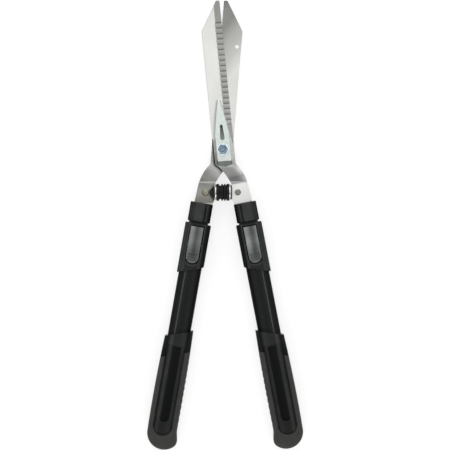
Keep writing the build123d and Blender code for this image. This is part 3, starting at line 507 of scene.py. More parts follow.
@dataclass(frozen=True)
class ScoopedSteel(GroundSteel):
    """Ground steel with a wavy bevel, and painted shade dark at each scoop's ridge with a painted highlight
    above it.

    Attributes:
        first_mm: Pivot to the first ridge, along the edge.
        pitch_mm: Ridge to ridge.
        count: How many whole scoops there are.
        run_out: Share of a scoop by which they run on past the last whole one.
        scoop_shade_tones: Shares of the bevel's tone over one scoop, from ridge to ridge, as painted shade
            and highlight.
        bevel_shade: Share of the blade's tone that the plain bevel has, as painted shade.
        bevel_levels: Levelness between which a face belongs to the bevel.
        slot_shadow_run: The painted shadow at the bottom of the tension plate's slot.
        slot_box: The slot's limits in millimetres up the tool and across it.
    """

    first_mm: float = 36.0
    pitch_mm: float = 8.1
    count: int = 19
    run_out: float = 0.3
    scoop_shade_tones: Tones = ()
    bevel_shade: str = "#e6e6e6"
    bevel_levels: tuple[float, float] = (0.9, 0.995)
    slot_shadow_run: Run | None = None
    slot_box: tuple[float, float, float, float] = (12.0, 39.0, -7.0, 5.0)

    def with_painted_shade(self, tree: Tree, tone: Socket) -> Socket:
        """Adds painted shade: the scoops' tones, the plain bevel's, and the shadow under the tension plate's
        slot.

        Args:
            tree: The node tree.
            tone: The ground steel's colour.

        Returns:
            The colour with all of these.
        """
        along = ALONG_EDGE.millimetres(tree)
        bevel = within(tree, levelness(tree), *self.bevel_levels)
        from_first = calculate(tree, "SUBTRACT", along, self.first_mm)
        phase = calculate(tree, "FRACT", calculate(tree, "DIVIDE", from_first, self.pitch_mm))
        last_mm = self.first_mm + (self.count + self.run_out) * self.pitch_mm
        scooped = within(tree, along, self.first_mm, last_mm)
        waves = calculate(tree, "MULTIPLY", bevel, scooped)
        bare = calculate(tree, "SUBTRACT", bevel, waves)
        tone = blend(tree, tone, ramp(tree, phase, self.scoop_shade_tones), "MULTIPLY", waves)
        tone = blend(tree, tone, plain(tree, self.bevel_shade), "MULTIPLY", bare)
        # Painted shadow at the bottom of the tension plate's slot.
        low, high, left, right = self.slot_box
        lengthwise = within(tree, UP_THE_TOOL.millimetres(tree), low, high)
        crosswise = within(tree, ACROSS_THE_TOOL.millimetres(tree), left, right)
        slot = calculate(tree, "MULTIPLY", lengthwise, crosswise)
        tone = blend(tree, tone, self.slot_shadow_run.colour(tree), "MIX", slot)
        return super().with_painted_shade(tree, tone)


@dataclass(frozen=True)
class ZincPlate(Finish):
    """Electroplated zinc over pressed steel: pale, faintly cloudy, with a soft satin shine.

    Attributes:
        cloud_colour: sRGB hex share of the colour left in the passivation's cloudy patches.
    """

    grain_mm: float = 0.6
    cloud_colour: str = "#ecf0ef"

    def dress(self, tree: Tree, shader: Node) -> None:
        """Cloudy patches of passivation and a very fine crystal grain.

        Args:
            tree: The node tree.
            shader: The surface shader.
        """
        shader.inputs["Metallic"].default_value = 1.0
        place = self.place(tree)
        clouds = noise(tree, place, scale=0.12, detail=4.0)
        crystals = add_node(tree, "ShaderNodeTexVoronoi", {"Vector": place, "Scale": 1.0})
        tree.links.new(self.tinted(tree, faded(tree, clouds, self.cloud_colour)), shader.inputs["Base Color"])
        self.emboss(tree, shader, crystals.outputs["Distance"], strength=0.25)


@dataclass(frozen=True)
class Dark(Finish):
    """A dark finish whose reflection is dimmed in step with its painted shade, so the painted shade darkens
    the shine too.

    Attributes:
        shine: Strength of the clear reflection, 0.5 for a bare plastic.
    """

    shine: float = 0.25

    def shade(self, tree: Tree, shader: Node, tone: Socket) -> None:
        """Links the colour, and the reflection in step with it.

        Args:
            tree: The node tree.
            shader: The surface shader.
            tone: The surface's colour.
        """
        tree.links.new(tone, shader.inputs["Base Color"])
        grey = add_node(tree, "ShaderNodeRGBToBW", {"Color": tone}).outputs["Val"]
        clean = linear(self.colour)[1]
        share = map_range(tree, grey, target=(0.0, self.shine), source=(0.0, clean))
        tree.links.new(share, shader.inputs["Specular IOR Level"])


@dataclass(frozen=True)
class DrawnTube(Dark):
    """Anodised drawn aluminium: smooth, with faint die lines that run down the tube."""

    grain_mm: float = 1.2
    gloss_spread: tuple[float, float] = (-0.05, 0.07)

    def dress(self, tree: Tree, shader: Node) -> None:
        """Die lines along the tube, in the gloss and very slightly in the relief.

        Args:
            tree: The node tree.
            shader: The surface shader.
        """
        lines = noise(tree, self.place(tree, (1.0, 0.004, 1.0)), scale=1.0, detail=2.0)
        self.vary_gloss(tree, shader, lines)
        self.shade(tree, shader, self.tinted(tree))
        self.emboss(tree, shader, lines, strength=0.3)


@dataclass(frozen=True)
class Moulded(Dark):
    """Injection-moulded plastic or rubber: a spark-eroded tool leaves a fine, even grain.

    Attributes:
        bloom: sRGB hex share of the colour left in the slightly duller areas.
        sheen: Strength of the soft edge light that rubber has.
    """

    grain_mm: float = 0.8
    relief_mm: float = 0.02
    bloom: str = "#e8e8e8"
    sheen: float = 0.0

    def dress(self, tree: Tree, shader: Node) -> None:
        """The tool's grain in the relief, a faint unevenness in tone, and painted light and shade.

        Args:
            tree: The node tree.
            shader: The surface shader.
        """
        shader.inputs["IOR"].default_value = 1.5
        shader.inputs["Sheen Weight"].default_value = self.sheen
        shader.inputs["Sheen Roughness"].default_value = 0.5
        place = self.place(tree)
        grain = noise(tree, place, scale=1.0, detail=2.0, roughness=0.55)
        wear = noise(tree, place, scale=0.05, detail=3.0)
        self.shade(tree, shader, self.painted_light_and_shade(tree, self.tinted(tree, faded(tree, wear, self.bloom))))
        self.vary_gloss(tree, shader, wear)
        self.emboss(tree, shader, grain, strength=0.6)

    def painted_light_and_shade(self, tree: Tree, tone: Socket) -> Socket:
        """Adds painted light and shade to the colour; a plain moulding has none."""
        return tone


@dataclass(frozen=True)
class WelledMoulding(Moulded):
    """The lock housing's plastic, dark inside the lever's well where no light reaches.

    Attributes:
        well_start: Collar's upper end to the well's square end, in millimetres down the handle.
        well_round: And to the centre of its round end.
        well_half: Half the well's width.
        well_top: Height above the floor below which the well is dark.
        well_shadow_colour: sRGB hex colour of the painted shadow down there.
        lip: Distances from the round end's centre between which the rim below the lever slopes.
        lip_highlight_colour: sRGB hex colour of the painted highlight on that slope.
        lip_start: How far below the round end's centre the slope starts.
    """

    well_start: float = 34.3
    well_round: float = 82.0
    well_half: float = 11.25
    well_top: float = 34.4
    well_shadow_colour: str = "#020202"
    lip: tuple[float, float] = (11.3, 14.8)
    lip_highlight_colour: str = "#343635"
    lip_start: float = 9.2

    def painted_light_and_shade(self, tree: Tree, tone: Socket) -> Socket:
        """Paints shadow in the well and a highlight on the slope below it.

        Args:
            tree: The node tree.
            tone: The plastic's colour.

        Returns:
            The colour with both.
        """
        along = DOWN_HANDLE.millimetres(tree)
        past = calculate(tree, "MAXIMUM", calculate(tree, "SUBTRACT", along, self.well_round), 0.0)
        out = distance(tree, past, ACROSS_HANDLE.millimetres(tree))
        sloping = calculate(tree, "GREATER_THAN", past, self.lip_start)
        # Painted highlight on the slope below the lever, and painted shadow in its well.
        rim = calculate(tree, "MULTIPLY", within(tree, out, *self.lip), sloping)
        near = calculate(tree, "LESS_THAN", out, self.well_half)
        below = calculate(tree, "GREATER_THAN", along, self.well_start)
        deep = calculate(tree, "LESS_THAN", OVER_THE_TOOL.millimetres(tree), self.well_top)
        well = calculate(tree, "MULTIPLY", near, calculate(tree, "MULTIPLY", below, deep))
        return patch(tree, patch(tree, tone, rim, self.lip_highlight_colour), well, self.well_shadow_colour)


@dataclass(frozen=True)
class LeverShadeMoulding(Moulded):
    """The lever's plastic, with painted light on both sides of its upper half and painted shade down its
    middle.

    Attributes:
        dish_shade: The painted light and shade across the upper half, as shares of the tone.
        dish_shade_end: Where the painted shade starts to fade out and where it is gone, in millimetres down
            the handle.
    """

    dish_shade: Run | None = None
    dish_shade_end: tuple[float, float] = (73.0, 93.0)

    def painted_light_and_shade(self, tree: Tree, tone: Socket) -> Socket:
        """Multiplies the painted shade in, less and less down the lever."""
        share = map_range(tree, DOWN_HANDLE.millimetres(tree), target=(1.0, 0.0), source=self.dish_shade_end)
        return blend(tree, tone, self.dish_shade.colour(tree), "MULTIPLY", share)


# ---------------------------- metal finishes
# Painted shade and reflections up the front half from the pivot: its pad, the bend in its arm, the arm and
# the blade.
FRONT_UP_TONES = (
    (-78.0, "#f6f6f4"), (-49.5, "#f8f8f6"), (-48.0, WHITE), (-43.0, WHITE), (-40.0, "#f7f7f5"),
    (-37.0, "#e7e7e5"), (-34.0, "#dddddb"), (-31.0, "#dfdfdd"), (-27.2, "#e6e6e4"), (-26.8, "#dddeda"),
    (150.0, "#dfe0db"), (215.0, "#d6d7d2"),
)
# Painted shade and highlight over one scoop of the bevel, at shares of the scoop's pitch.
FRONT_SCOOP_SHADE_TONES = (
    (0.0, "#959595"), (0.06, "#b4b4b4"), (0.14, "#dadada"), (0.3, "#e6e6e6"), (0.47, "#ececec"),
    (0.62, "#fafafa"), (0.76, "#ececec"), (0.86, "#cccccc"), (0.93, "#a2a2a2"), (0.98, "#8a8a8a"),
    (1.0, "#959595"),
)
# Painted reflections and shade on the rear half: across its blade to the dark tip, down its arm, and down its
# pad.
REAR_BLADE_TONES = (
    (5.0, "#dcdcda"), (58.0, "#dadbd6"), (77.0, "#bdbeb9"), (95.0, "#acaca8"), (110.0, "#8c8c88"),
    (127.0, "#8a8a87"), (138.0, "#686866"),
)
REAR_ARM_TONES = (
    (-56.0, "#8d8d8b"), (-50.0, "#9b9b99"), (-46.0, "#9b9b99"), (-42.0, "#a4a4a2"), (-32.0, "#d9d9d8"),
    (-28.0, "#e0e0df"), (-23.0, "#d2d2d1"), (-14.0, "#e2e2e1"), (0.0, WHITE),
)
REAR_PAD_TONES = (
    (-78.0, "#a4a49d"), (-72.7, "#a8a8a0"), (-66.7, "#bfbfb8"), (-60.7, "#bcbcb6"), (-50.5, "#a5a5a1"),
    (-49.9, "#b0b0ae"), (-49.0, "#d6d6d5"), (-48.3, "#c8c8c6"),
)
# Painted shade across the outer tube, darkest at its flanks, with a painted highlight along its outer groove.
TUBE_TONES = (
    (-16.5, "#0c0d0c"), (-11.5, "#151616"), (-10.5, "#1d1f1e"), (-8.2, "#222423"), (-7.5, "#1b1d1c"),
    (-6.8, "#303231"), (-6.1, "#2c2e2d"), (-5.2, "#1f2120"), (0.0, "#1e201f"), (5.4, "#242625"),
    (6.0, "#4a4c4b"), (6.5, "#666867"), (7.0, "#4a4c4b"), (7.6, "#282a29"), (8.4, "#1e201f"),
    (16.5, "#0b0c0b"),
)
FRONT_STEEL = ScoopedSteel(
    "front_blade_ground_steel",
    "#dcddd8",
    turn=BLADE_LEAN,
    runs=(
        Run(UP_THE_TOOL, FRONT_UP_TONES),
        # Painted shade on the arm beside the tension plate's lower end.
        Run(
            leaning(-36.0),
            ((-18.0, "#cccccb"), (-15.0, "#d8d8d7"), (-5.0, "#eeeeed"), (2.0, WHITE)),
            span=(-27.0, -5.0),
        ),
        # Painted shade on the arm's bend, lighter towards its outer side.
        Run(
            leaning(-60.0),
            (
                (-6.0, "#b0b0af"), (-3.0, "#b3b3b2"), (-0.5, "#bfbfbe"), (1.2, "#cdcdcc"),
                (3.0, "#e0e0df"), (5.0, WHITE),
            ),
            span=(-47.9, -27.0),
        ),
        # The shaded edges beside the tension plate.
        Run(
            leaning(-84.75),
            ((-13.0, "#c8c8c7"), (-11.5, "#d4d4d3"), (-10.0, WHITE), (12.0, WHITE), (13.5, "#e4e4e4")),
            span=(-24.0, 14.0),
        ),
    ),
    # A paler painted shadow beside the tension plate.
    painted_shadow_colour="#aeaeac",
    scoop_shade_tones=FRONT_SCOOP_SHADE_TONES,
    # Painted shadow at the bottom of the tension plate's slot, darker further up the tool.
    slot_shadow_run=Run(UP_THE_TOOL, ((14.0, "#8a8d88"), (26.0, "#686b66"), (38.0, "#323431"))),
)
# The rear half's steel, painted darker than the front half's to stand in for its dimmer reflection.
REAR_STEEL = GroundSteel(
    "rear_blade_ground_steel",
    "#c4c4c2",
    turn=-BLADE_LEAN,
    runs=(
        Run(leaning(51.5), REAR_BLADE_TONES),
        Run(leaning(-36.0), REAR_ARM_TONES, span=(-47.9, -3.0)),
        Run(UP_THE_TOOL, REAR_PAD_TONES, span=(-80.0, -47.9)),
    ),
    # Painted shade on the rear half's steep faces.
    edge_shade_colour="#3c3d39",
    # The painted shadow beside the front half reaches further.
    painted_shadow_mm=6.5,
)
PALE_ZINC = ZincPlate(
    "pale_zinc_plate",
    "#dfe6e2",
    roughness=0.36,
    cloud_colour="#f0f4f2",
    # Painted shade on the steep faces, dark on the bent-down lower end.
    wall_shade_runs=(
        Run(ACROSS_THE_TOOL, ((-8.0, "#f8fcfa"), (8.0, WHITE))),
        Run(UP_THE_TOOL, ((-17.4, "#585b58"), (-15.5, "#f8f8f8"))),
    ),
    wall_level=0.96,
)
BLUE_ZINC = ZincPlate(
    "blue_passivated_zinc",
    "#8ea1ac",
    roughness=0.28,
    cloud_colour="#b0b8c0",
    # Painted light and shade on the steep sides, lighter to the left.
    wall_shade_runs=(Run(ACROSS_THE_TOOL, ((-7.0, "#7fa0b8"), (0.0, "#52687a"), (7.0, "#47596a"))),),
)
WASHER_ZINC = ZincPlate("washer_zinc_plate", "#e8f0f3", roughness=0.24, cloud_colour="#d8e2e8")
WHITE_ZINC = ZincPlate("white_zinc_plate", "#dcdddc", roughness=0.3)
DULL_ZINC = ZincPlate("dull_zinc_plate", "#9a9d92", roughness=0.4, cloud_colour="#dcdcd4")
RIVET_STEEL = ZincPlate("rivet_steel", "#aeada0", roughness=0.42, cloud_colour="#e0dccc")
SPRING_STEEL = ZincPlate("oiled_spring_steel", "#77787a", roughness=0.35)
BLACK_STEEL = ZincPlate("blackened_steel", "#3a3b3c", roughness=0.4)
BLACK_TUBE = DrawnTube(
    "black_anodised_tube",
    "#343635",
    roughness=0.32,
    runs=(
        Run(ACROSS_HANDLE, TUBE_TONES),
        # Painted shade on the tube inside the grip's window.
        Run(DOWN_HANDLE, ((205.0, WHITE), (218.0, "#c8c8c8"), (340.0, "#b4b4b4"))),
    ),
)
INNER_TUBE = DrawnTube("black_anodised_inner_tube", "#151616", roughness=0.4)


# ---------------------------- plastic and rubber finishes
# Painted shade and highlights across the collar and the housing, down the lever, and across the lever's upper
# half and the grip.
COLLAR_TONES = (
    (-17.0, "#080908"), (-15.0, "#0e0f0e"), (-12.0, "#222423"), (-10.0, "#333534"), (-8.8, "#303231"),
    (-7.8, "#0e0f0e"), (-7.0, "#1e201f"), (-4.5, "#353736"), (7.0, "#383a39"), (9.0, "#2b2d2c"),
    (15.0, "#272928"), (17.0, "#141515"),
)
HOUSING_TONES = (
    (-19.3, "#0c0d0d"), (-17.0, "#171818"), (-14.2, "#181919"), (-13.0, "#2e302f"), (-11.2, "#383a39"),
    (-9.0, "#272928"), (9.0, "#272928"), (11.2, "#343635"), (12.9, "#343635"), (13.8, "#2c2e2d"),
    (16.0, "#313332"), (18.0, "#262827"), (19.3, "#101111"),
)
LEVER_TONES = ((48.0, "#8c908f"), (58.0, "#9a9e9d"), (72.0, "#7b7f7e"), (92.0, "#666a69"))
LEFT_DISH_SHADE_TONES = (
    (-8.5, "#cacaca"), (-6.0, "#cbcbcb"), (-1.2, "#9c9c9c"), (0.3, "#9b9b9b"), (3.3, "#c7c7c7"),
    (4.8, "#e5e5e5"), (9.3, "#fafafa"),
)
RIGHT_DISH_SHADE_TONES = (
    (-8.7, "#f1f1f1"), (-7.2, WHITE), (-5.7, "#fdfdfd"), (-4.2, "#efefef"), (0.3, "#a1a1a1"),
    (3.3, "#a2a2a2"), (6.3, "#c1c1c1"), (7.8, "#e1e1e1"), (9.3, "#e7e7e7"),
)
CORE_TONES = (
    (-21.0, "#101111"), (-18.0, "#1e201f"), (-14.0, "#161717"), (-10.5, "#303231"), (-7.0, "#303231"),
    (-3.0, "#2b2d2c"), (5.5, "#2b2d2c"), (7.5, "#3a3c3b"), (10.0, "#3a3c3b"), (12.5, "#282a29"),
    (14.5, "#181a19"), (18.0, "#1c1e1d"), (21.0, "#101111"),
)
GRIP_SIDE_TONES = (
    (-15.0, WHITE), (-14.2, "#c8c8c8"), (-13.0, "#c8c8c8"), (13.0, "#8c8c8c"), (14.6, "#8c8c8c"),
    (15.4, WHITE),
)
GRIP_ROUND = HANDLE_START + Vector(DOWN_HANDLE.way) * GRIP_WINDOW_END  # centre of the window's round end
GRIP_ROUND_HEIGHT = (GRIP_ROUND - PIVOT).y / MM
COLLAR_PLASTIC = Moulded(
    "glass_filled_nylon",
    "#343635",
    roughness=0.45,
    relief_mm=0.03,
    runs=(Run(ACROSS_HANDLE, COLLAR_TONES),),
)
HOUSING_PLASTIC = WelledMoulding(
    "satin_black_abs",
    "#343635",
    roughness=0.4,
    grain_mm=0.7,
    runs=(Run(ACROSS_HANDLE, HOUSING_TONES),),
)
LEFT_LEVER_PLASTIC = LeverShadeMoulding(
    "dark_grey_acetal_left",
    "#787c7b",
    roughness=0.34,
    grain_mm=0.7,
    relief_mm=0.015,
    shine=0.5,
    wall_level=0.93,
    # Painted shade on the lever's steep sides, lighter on its outer side.
    wall_shade_runs=(Run(ACROSS_HANDLE, ((8.0, "#101111"), (9.0, "#5c605f"))),),
    runs=(Run(DOWN_HANDLE, LEVER_TONES),),
    dish_shade=Run(ACROSS_HANDLE, LEFT_DISH_SHADE_TONES),
)
# The right lever's copy of the plastic, with its own painted light and shade.
RIGHT_LEVER_PLASTIC = replace(
    LEFT_LEVER_PLASTIC, name="dark_grey_acetal_right", dish_shade=Run(ACROSS_HANDLE, RIGHT_DISH_SHADE_TONES)
)
CORE_PLASTIC = Moulded(
    "satin_black_polypropylene",
    "#3a3c3b",
    roughness=0.4,
    # Painted light and shade across the grip's core, and painted shade inside its window.
    runs=(Run(ACROSS_HANDLE, CORE_TONES), Run(DOWN_HANDLE, ((215.0, WHITE), (224.0, "#e2e2e2")))),
)
HIDDEN_PLASTIC = Moulded("black_nylon", "#202221", roughness=0.45)
GRIP_RUBBER = Moulded(
    "charcoal_grip_rubber",
    "#3a3b38",
    roughness=0.62,
    grain_mm=0.9,
    relief_mm=0.06,
    runs=(
        Run(ACROSS_HANDLE, ((-40.0, "#3a3b38"), (40.0, "#3a3b38"))),
        # Painted shadow along the grip window's edges and round its round end.
        Run(ACROSS_HANDLE, GRIP_SIDE_TONES, span=(GRIP_ROUND_HEIGHT, -292.0)),
        Run(Rings(tuple(GRIP_ROUND)), ((14.2, "#969696"), (15.2, WHITE)), span=(-430.0, GRIP_ROUND_HEIGHT)),
    ),
    bloom="#f0f0ea",
    sheen=0.03,
)
BUMPER_RUBBER = Moulded("black_bumper_rubber", "#121214", roughness=0.5, relief_mm=0.03, sheen=0.05)


# ---------------------------- pieces made here
@dataclass
class Piece:
    """A piece that is shown in place of a soft solid.

    Attributes:
        name: The piece's name.
        node: The node that it stands for.
        body: The body that it rides on.
        slot: The record's material slot.
        finish: What it is made of.
    """

    name: str
    node: str
    # slot: The record's material slot; not used.
    body: str
    slot: str
    finish: Finish

    def show(self, mesh: bpy.types.Mesh, sharp_degrees: float = 180.0) -> None:
        """Puts the mesh in the scene on its body, in place of its node.

        Args:
            mesh: The finished mesh, in the tool's own frame.
            sharp_degrees: Edges that turn more than this stay sharp.
        """
        mesh.name = self.name
        mesh.materials.clear()
        mesh.materials.append(self.finish.material())
        mesh.shade_smooth()
        mesh.set_sharp_from_angle(angle=radians(sharp_degrees))
        piece = bpy.data.objects.new(self.name, mesh)
        bpy.context.scene.collection.objects.link(piece)
        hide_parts(self.node)
        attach(piece, self.body)
        logger.info("%s stands for %s", self.name, self.node)


def moulded_mesh(node: str, voxel_mm: float, passes: int, merge_mm: float = 0.01) -> bpy.types.Mesh:
    """A node's form in an even mesh with its edges rounded, as a rubber mould leaves them.

    Args:
        node: The node to follow.
        voxel_mm: Size of the new mesh's faces.
        passes: How often the mesh is relaxed.
        merge_mm: Corners closer than this are one.

    Returns:
        The new mesh; the node's own mesh isn't changed.
    """
    merged = bmesh.new()
    merged.from_mesh(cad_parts[node].data)
    bmesh.ops.remove_doubles(merged, verts=merged.verts, dist=merge_mm * MM)
    bmesh.ops.recalc_face_normals(merged, faces=merged.faces)
    mesh = bpy.data.meshes.new(f"{node}_form")
    merged.to_mesh(mesh)
    merged.free()
    form = bpy.data.objects.new(f"{node}_form", mesh)
    bpy.context.scene.collection.objects.link(form)
    remesh = form.modifiers.new("even", "REMESH")
    remesh.mode = "VOXEL"
    remesh.voxel_size = voxel_mm * MM
    relax = form.modifiers.new("relax", "SMOOTH")
    relax.factor = 0.5
    relax.iterations = passes
    ready = form.evaluated_get(bpy.context.evaluated_depsgraph_get())
    made = bpy.data.meshes.new_from_object(ready)
    bpy.data.objects.remove(form)
    bpy.data.meshes.remove(mesh)
    return made


@dataclass(frozen=True)
class RibbedBumper:
    """The rubber between the bumper's washers, turned about its own axis.

    Attributes:
        drop_mm: Pivot to the bumper's axis, down the tool.
        left_mm: Centre line to its left face.
        right_mm: Centre line to its right face.
        rib_mm: Radius over the ribs.
        valley_mm: Radius in the valleys.
        bore_mm: Radius of the hole for the stud.
        end_rib_mm: Width of the rib at each end.
        mid_rib_mm: Width of each middle rib.
        mid_ribs_mm: Centres of the middle ribs from the left face.
        flank_mm: Width of a rib's sloping side.
        rounding_mm: Rounding of the ribs' edges.
        sharp_degrees: Edges that turn more than this are rounded.
        steps: Faces round the bumper.
    """

    drop_mm: float = 64.2
    left_mm: float = -10.0
    right_mm: float = 8.6
    rib_mm: float = 12.8
    valley_mm: float = 10.3
    bore_mm: float = 4.1
    end_rib_mm: float = 3.4
    mid_rib_mm: float = 1.4
    mid_ribs_mm: tuple[float, ...] = (8.4, 12.3)
    flank_mm: float = 1.1
    rounding_mm: float = 0.45
    sharp_degrees: float = 30.0
    steps: int = 96

    def outline(self) -> list[tuple[float, float]]:
        """Half the section as places from the left face and radii, in millimetres.

        Returns:
            The section's corners in order.
        """
        length = self.right_mm - self.left_mm
        points = [(0.0, self.bore_mm), (0.0, self.rib_mm), (self.end_rib_mm, self.rib_mm)]
        points.append((self.end_rib_mm + self.flank_mm, self.valley_mm))
        for centre in self.mid_ribs_mm:
            left, right = centre - self.mid_rib_mm / 2, centre + self.mid_rib_mm / 2
            points += [(left - self.flank_mm, self.valley_mm), (left, self.rib_mm)]
            points += [(right, self.rib_mm), (right + self.flank_mm, self.valley_mm)]
        points.append((length - self.end_rib_mm - self.flank_mm, self.valley_mm))
        points += [(length - self.end_rib_mm, self.rib_mm), (length, self.rib_mm), (length, self.bore_mm)]
        return points

    def mesh(self) -> bpy.types.Mesh:
        """Turns the section about the bumper's axis and rounds its outer edges.

        Returns:
            The finished mesh.
        """
        centre = PIVOT + Vector((0.0, -self.drop_mm, 0.0)) * MM
        shape = bmesh.new()
        ring = [
            shape.verts.new(centre + Vector((self.left_mm + along, 0.0, radius)) * MM)
            for along, radius in self.outline()
        ]
        edges = [shape.edges.new((a, b)) for a, b in zip(ring, ring[1:] + ring[:1])]
        turning = {"cent": centre, "axis": (1, 0, 0), "angle": 2 * pi, "steps": self.steps}
        bmesh.ops.spin(shape, geom=ring + edges, use_merge=True, **turning)
        bmesh.ops.recalc_face_normals(shape, faces=shape.faces)
        beyond_bore = (self.bore_mm + self.valley_mm) / 2 * MM
        outer = [
            edge
            for edge in shape.edges
            if len(edge.link_faces) == 2
            and edge.calc_face_angle() > radians(self.sharp_degrees)
            and all((vert.co - centre).yz.length > beyond_bore for vert in edge.verts)
        ]
        rounding = {"offset": self.rounding_mm * MM, "segments": 3, "profile": 0.5}
        bmesh.ops.bevel(shape, geom=outer, affect="EDGES", material=-1, **rounding)
        mesh = bpy.data.meshes.new("bumper")
        shape.to_mesh(mesh)
        shape.free()
        return mesh


# ---------------------------- sub-assemblies
class Hand(Enum):
    """The two handles, by the side that each lies on in the tool's own frame."""

    LEFT = "left"
    RIGHT = "right"

    def named(self, piece: str) -> str:
        """The name of this side's node, body or piece."""
        return f"{self.value}_{piece}"


def dress_node(node: str, finish: Finish) -> None:
    """Gives a carried-over node its finish.

    Args:
        node: The node's name.
        finish: What it is made of.
    """
    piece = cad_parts[node]
    piece.data.materials.clear()
    piece.data.materials.append(finish.material())
    logger.info("%s is %s", node, finish.name)


@dataclass
class Blades:
    """The two blades with their arms and pads."""

    def dress(self) -> None:
        """Gives both blades their ground steel."""
        dress_node("front_blade", FRONT_STEEL)
        dress_node("rear_blade", REAR_STEEL)


@dataclass
class Pivot:
    """The bolt, washer, nut, disc spring and tension plate."""

    def dress(self) -> None:
        """Gives each its plating."""
        dress_node("pivot_bolt", BLUE_ZINC)
        dress_node("pivot_washer", WASHER_ZINC)
        dress_node("pivot_nut", BLUE_ZINC)
        dress_node("tension_plate", PALE_ZINC)
        dress_node("disc_spring", SPRING_STEEL)


@dataclass
class Bumper:
    """The ribbed bumper between the pads, with its seat and stop."""

    def dress(self) -> None:
        """Gives the small pieces their finishes and moulds the rubber ones."""
        for node in ("bumper_washer_left", "bumper_washer_right", "stop_nut", "bumper_stud"):
            dress_node(node, WHITE_ZINC)
        dress_node("seat_rivet", RIVET_STEEL)
        dress_node("stop_bolt", DULL_ZINC)
        dress_node("bumper_seat", HIDDEN_PLASTIC)
        dress_node("bumper_stop", BUMPER_RUBBER)
        dress_node("bumper_rubber", BUMPER_RUBBER)
        cushion = Piece("ribbed_cushion", "bumper_rubber", "rear_half", "bumper_rubber", BUMPER_RUBBER)
        cushion.show(RibbedBumper().mesh(), sharp_degrees=40.0)
        stop = Piece("stop_cushion", "bumper_stop", "front_half", "bumper_rubber", BUMPER_RUBBER)
        stop.show(moulded_mesh("bumper_stop", voxel_mm=0.35, passes=3))


@dataclass
class Handle:
    """One telescopic handle with its collar, lock and grip.

    Attributes:
        hand: The side that it lies on.
    """

    hand: Hand

    def dress(self) -> None:
        """Gives each piece its finish and moulds the rubber ones."""
        finishes = {
            "collar": COLLAR_PLASTIC,
            "inner_tube": INNER_TUBE,
            "tang_insert": HIDDEN_PLASTIC,
            "tang_pins": WHITE_ZINC,
            "slide_bush": HIDDEN_PLASTIC,
            "outer_tube": BLACK_TUBE,
            "lock_housing": HOUSING_PLASTIC,
            "housing_screw": WHITE_ZINC,
            "lock_lever": LEFT_LEVER_PLASTIC if self.hand is Hand.LEFT else RIGHT_LEVER_PLASTIC,
            "lever_pin": BLACK_STEEL,
            "lock_shoe": BUMPER_RUBBER,
            "lever_spring": SPRING_STEEL,
            "grip_core": CORE_PLASTIC,
            "grip_sleeve": GRIP_RUBBER,
        }
        named = self.hand.named
        for piece, finish in finishes.items():
            dress_node(named(piece), finish)
        sleeve = named("grip_sleeve")
        rubber = Piece(named("grip_rubber"), sleeve, named("handle"), "grip_rubber", GRIP_RUBBER)
        rubber.show(moulded_mesh(sleeve, voxel_mm=0.85, passes=4))
        shoe = named("lock_shoe")
        pad = Piece(named("brake_pad"), shoe, named("lever"), "bumper_rubber", BUMPER_RUBBER)
        pad.show(moulded_mesh(shoe, voxel_mm=0.4, passes=2))


# ---------------------------- stage, lamps and camera
@dataclass(frozen=True)
class SoftBox:
    """A rectangular lamp over the tool.

    Attributes:
        name: The lamp's name.
        place: Where it hangs, in metres.
        size: Its width and height, in metres.
        watts: Its power.
        level: Whether it faces straight down instead of to the middle of the tool.
    """

    name: str
    place: Triple
    size: tuple[float, float]
    watts: float
    level: bool = False

    def hang(self) -> None:
        """Puts the lamp in the scene."""
        light = bpy.data.lights.new(self.name, "AREA")
        light.shape = "RECTANGLE"
        light.size, light.size_y = self.size
        light.energy = self.watts
        lamp = bpy.data.objects.new(self.name, light)
        lamp.location = self.place
        if not self.level:
            lamp.rotation_euler = (-Vector(self.place)).to_track_quat("-Z", "Y").to_euler()
        bpy.context.scene.collection.objects.link(lamp)


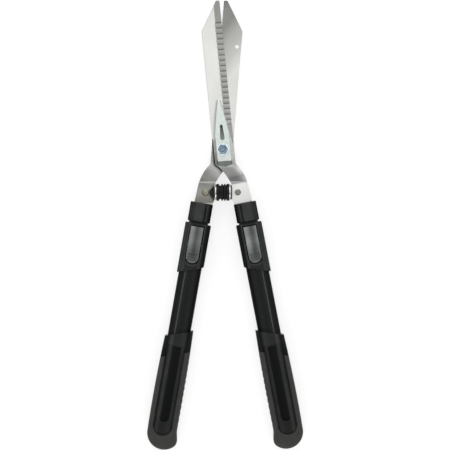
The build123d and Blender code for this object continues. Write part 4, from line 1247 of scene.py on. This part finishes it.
@dataclass(frozen=True)
class Studio:
    """A white floor under a soft daylight tent, and the camera straight above.

    Attributes:
        floor_half: Half the floor's width, in metres.
        floor_drop: How far below the tool the floor lies, in metres.
        floor_colour: sRGB hex colour of the floor's paper.
        floor_glow: How much of its white the paper gives by itself.
        tent_strengths: The tent's brightness at the horizon and overhead.
        soft_boxes: The lamps.
        camera_height: Height of the camera, in metres.
        lens_mm: Focal length on a sensor of sensor_mm.
        sensor_mm: The sensor's width.
        view_centre: The picture's middle from the pivot, in metres.
        roll_degrees: How far the camera is turned, clockwise from above.
    """

    floor_half: float = 4.0
    floor_drop: float = 0.0005
    floor_colour: str = "#a8a8a8"
    floor_glow: float = 0.72
    tent_strengths: tuple[float, float] = (0.75, 0.33)
    soft_boxes: tuple[SoftBox, ...] = (
        SoftBox("blade_soft_box", (0.0, 0.45, 1.7), (1.0, 0.8), 2.8, level=True),
        SoftBox("head_soft_box", (0.0, 1.5, 1.15), (1.6, 0.7), 9.5),
        SoftBox("foot_soft_box", (0.0, -1.5, 1.15), (1.6, 0.7), 9.5),
        SoftBox("left_soft_box", (-1.4, 0.0, 0.9), (0.7, 1.6), 2.5),
        SoftBox("right_soft_box", (1.4, 0.0, 0.9), (0.7, 1.6), 2.0),
    )
    camera_height: float = 2.2665
    lens_mm: float = 120.0
    sensor_mm: float = 36.0
    view_centre: tuple[float, float] = (0.00226, -0.11327)
    roll_degrees: float = 0.456

    def build(self) -> None:
        """Makes the floor, the world, the lamps and the camera."""
        self.build_floor()
        self.build_world()
        for soft_box in self.soft_boxes:
            soft_box.hang()
        self.build_camera()

    def build_floor(self) -> None:
        """A wide white floor that stays white and keeps the tool's shadow."""
        mesh = bpy.data.meshes.new("floor")
        shape = bmesh.new()
        bmesh.ops.create_grid(shape, x_segments=1, y_segments=1, size=self.floor_half)
        bmesh.ops.translate(shape, verts=shape.verts, vec=(0, 0, -self.floor_drop))
        shape.to_mesh(mesh)
        shape.free()
        floor = bpy.data.objects.new("floor", mesh)
        bpy.context.scene.collection.objects.link(floor)
        paper = bpy.data.materials.new("white_paper")
        paper.use_nodes = True
        shader = paper.node_tree.nodes["Principled BSDF"]
        shader.inputs["Base Color"].default_value = linear(self.floor_colour)
        shader.inputs["Roughness"].default_value = 1.0
        shader.inputs["Specular IOR Level"].default_value = 0.0
        shader.inputs["Emission Color"].default_value = linear(WHITE)
        seen = self.seen_directly(paper.node_tree)
        glow = calculate(paper.node_tree, "MULTIPLY", seen, self.floor_glow)
        paper.node_tree.links.new(glow, shader.inputs["Emission Strength"])
        mesh.materials.append(paper)

    def seen_directly(self, tree: Tree) -> Socket:
        """1 for what the camera, a reflection or a clear piece sees, and 0 for light on the tool.

        Args:
            tree: The node tree.

        Returns:
            The share that is seen.
        """
        path = add_node(tree, "ShaderNodeLightPath").outputs
        seen = calculate(tree, "MAXIMUM", path["Is Camera Ray"], path["Is Glossy Ray"])
        return calculate(tree, "MAXIMUM", seen, path["Is Transmission Ray"])

    def build_world(self) -> None:
        """A pale tent that is brighter towards the horizon than overhead."""
        world = bpy.data.worlds.new("tent")
        bpy.context.scene.world = world
        world.use_nodes = True
        tree = world.node_tree
        sky = tree.nodes["Background"]
        way = add_node(tree, "ShaderNodeTexCoord").outputs["Generated"]
        rise = add_node(tree, "ShaderNodeSeparateXYZ", {"Vector": way}).outputs["Z"]
        sky.inputs["Color"].default_value = linear(WHITE)
        tree.links.new(map_range(tree, rise, self.tent_strengths), sky.inputs["Strength"])

    def build_camera(self) -> None:
        """A long lens straight above, turned by a small roll."""
        data = bpy.data.cameras.new("camera")
        data.lens = self.lens_mm
        data.sensor_width = self.sensor_mm
        camera = bpy.data.objects.new("camera", data)
        camera.location = (PIVOT.x + self.view_centre[0], PIVOT.y + self.view_centre[1], self.camera_height)
        camera.rotation_euler = (0.0, 0.0, -radians(self.roll_degrees))
        bpy.context.scene.collection.objects.link(camera)
        bpy.context.scene.camera = camera
        bpy.context.scene.view_settings.view_transform = "Standard"


def main() -> None:
    """Dresses every sub-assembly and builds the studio."""
    logging.basicConfig(level=logging.INFO, format="%(name)s: %(message)s")
    for assembly in (Blades(), Pivot(), Bumper(), Handle(Hand.LEFT), Handle(Hand.RIGHT)):
        assembly.dress()
    Studio().build()


if __name__ == "__main__":
    main()
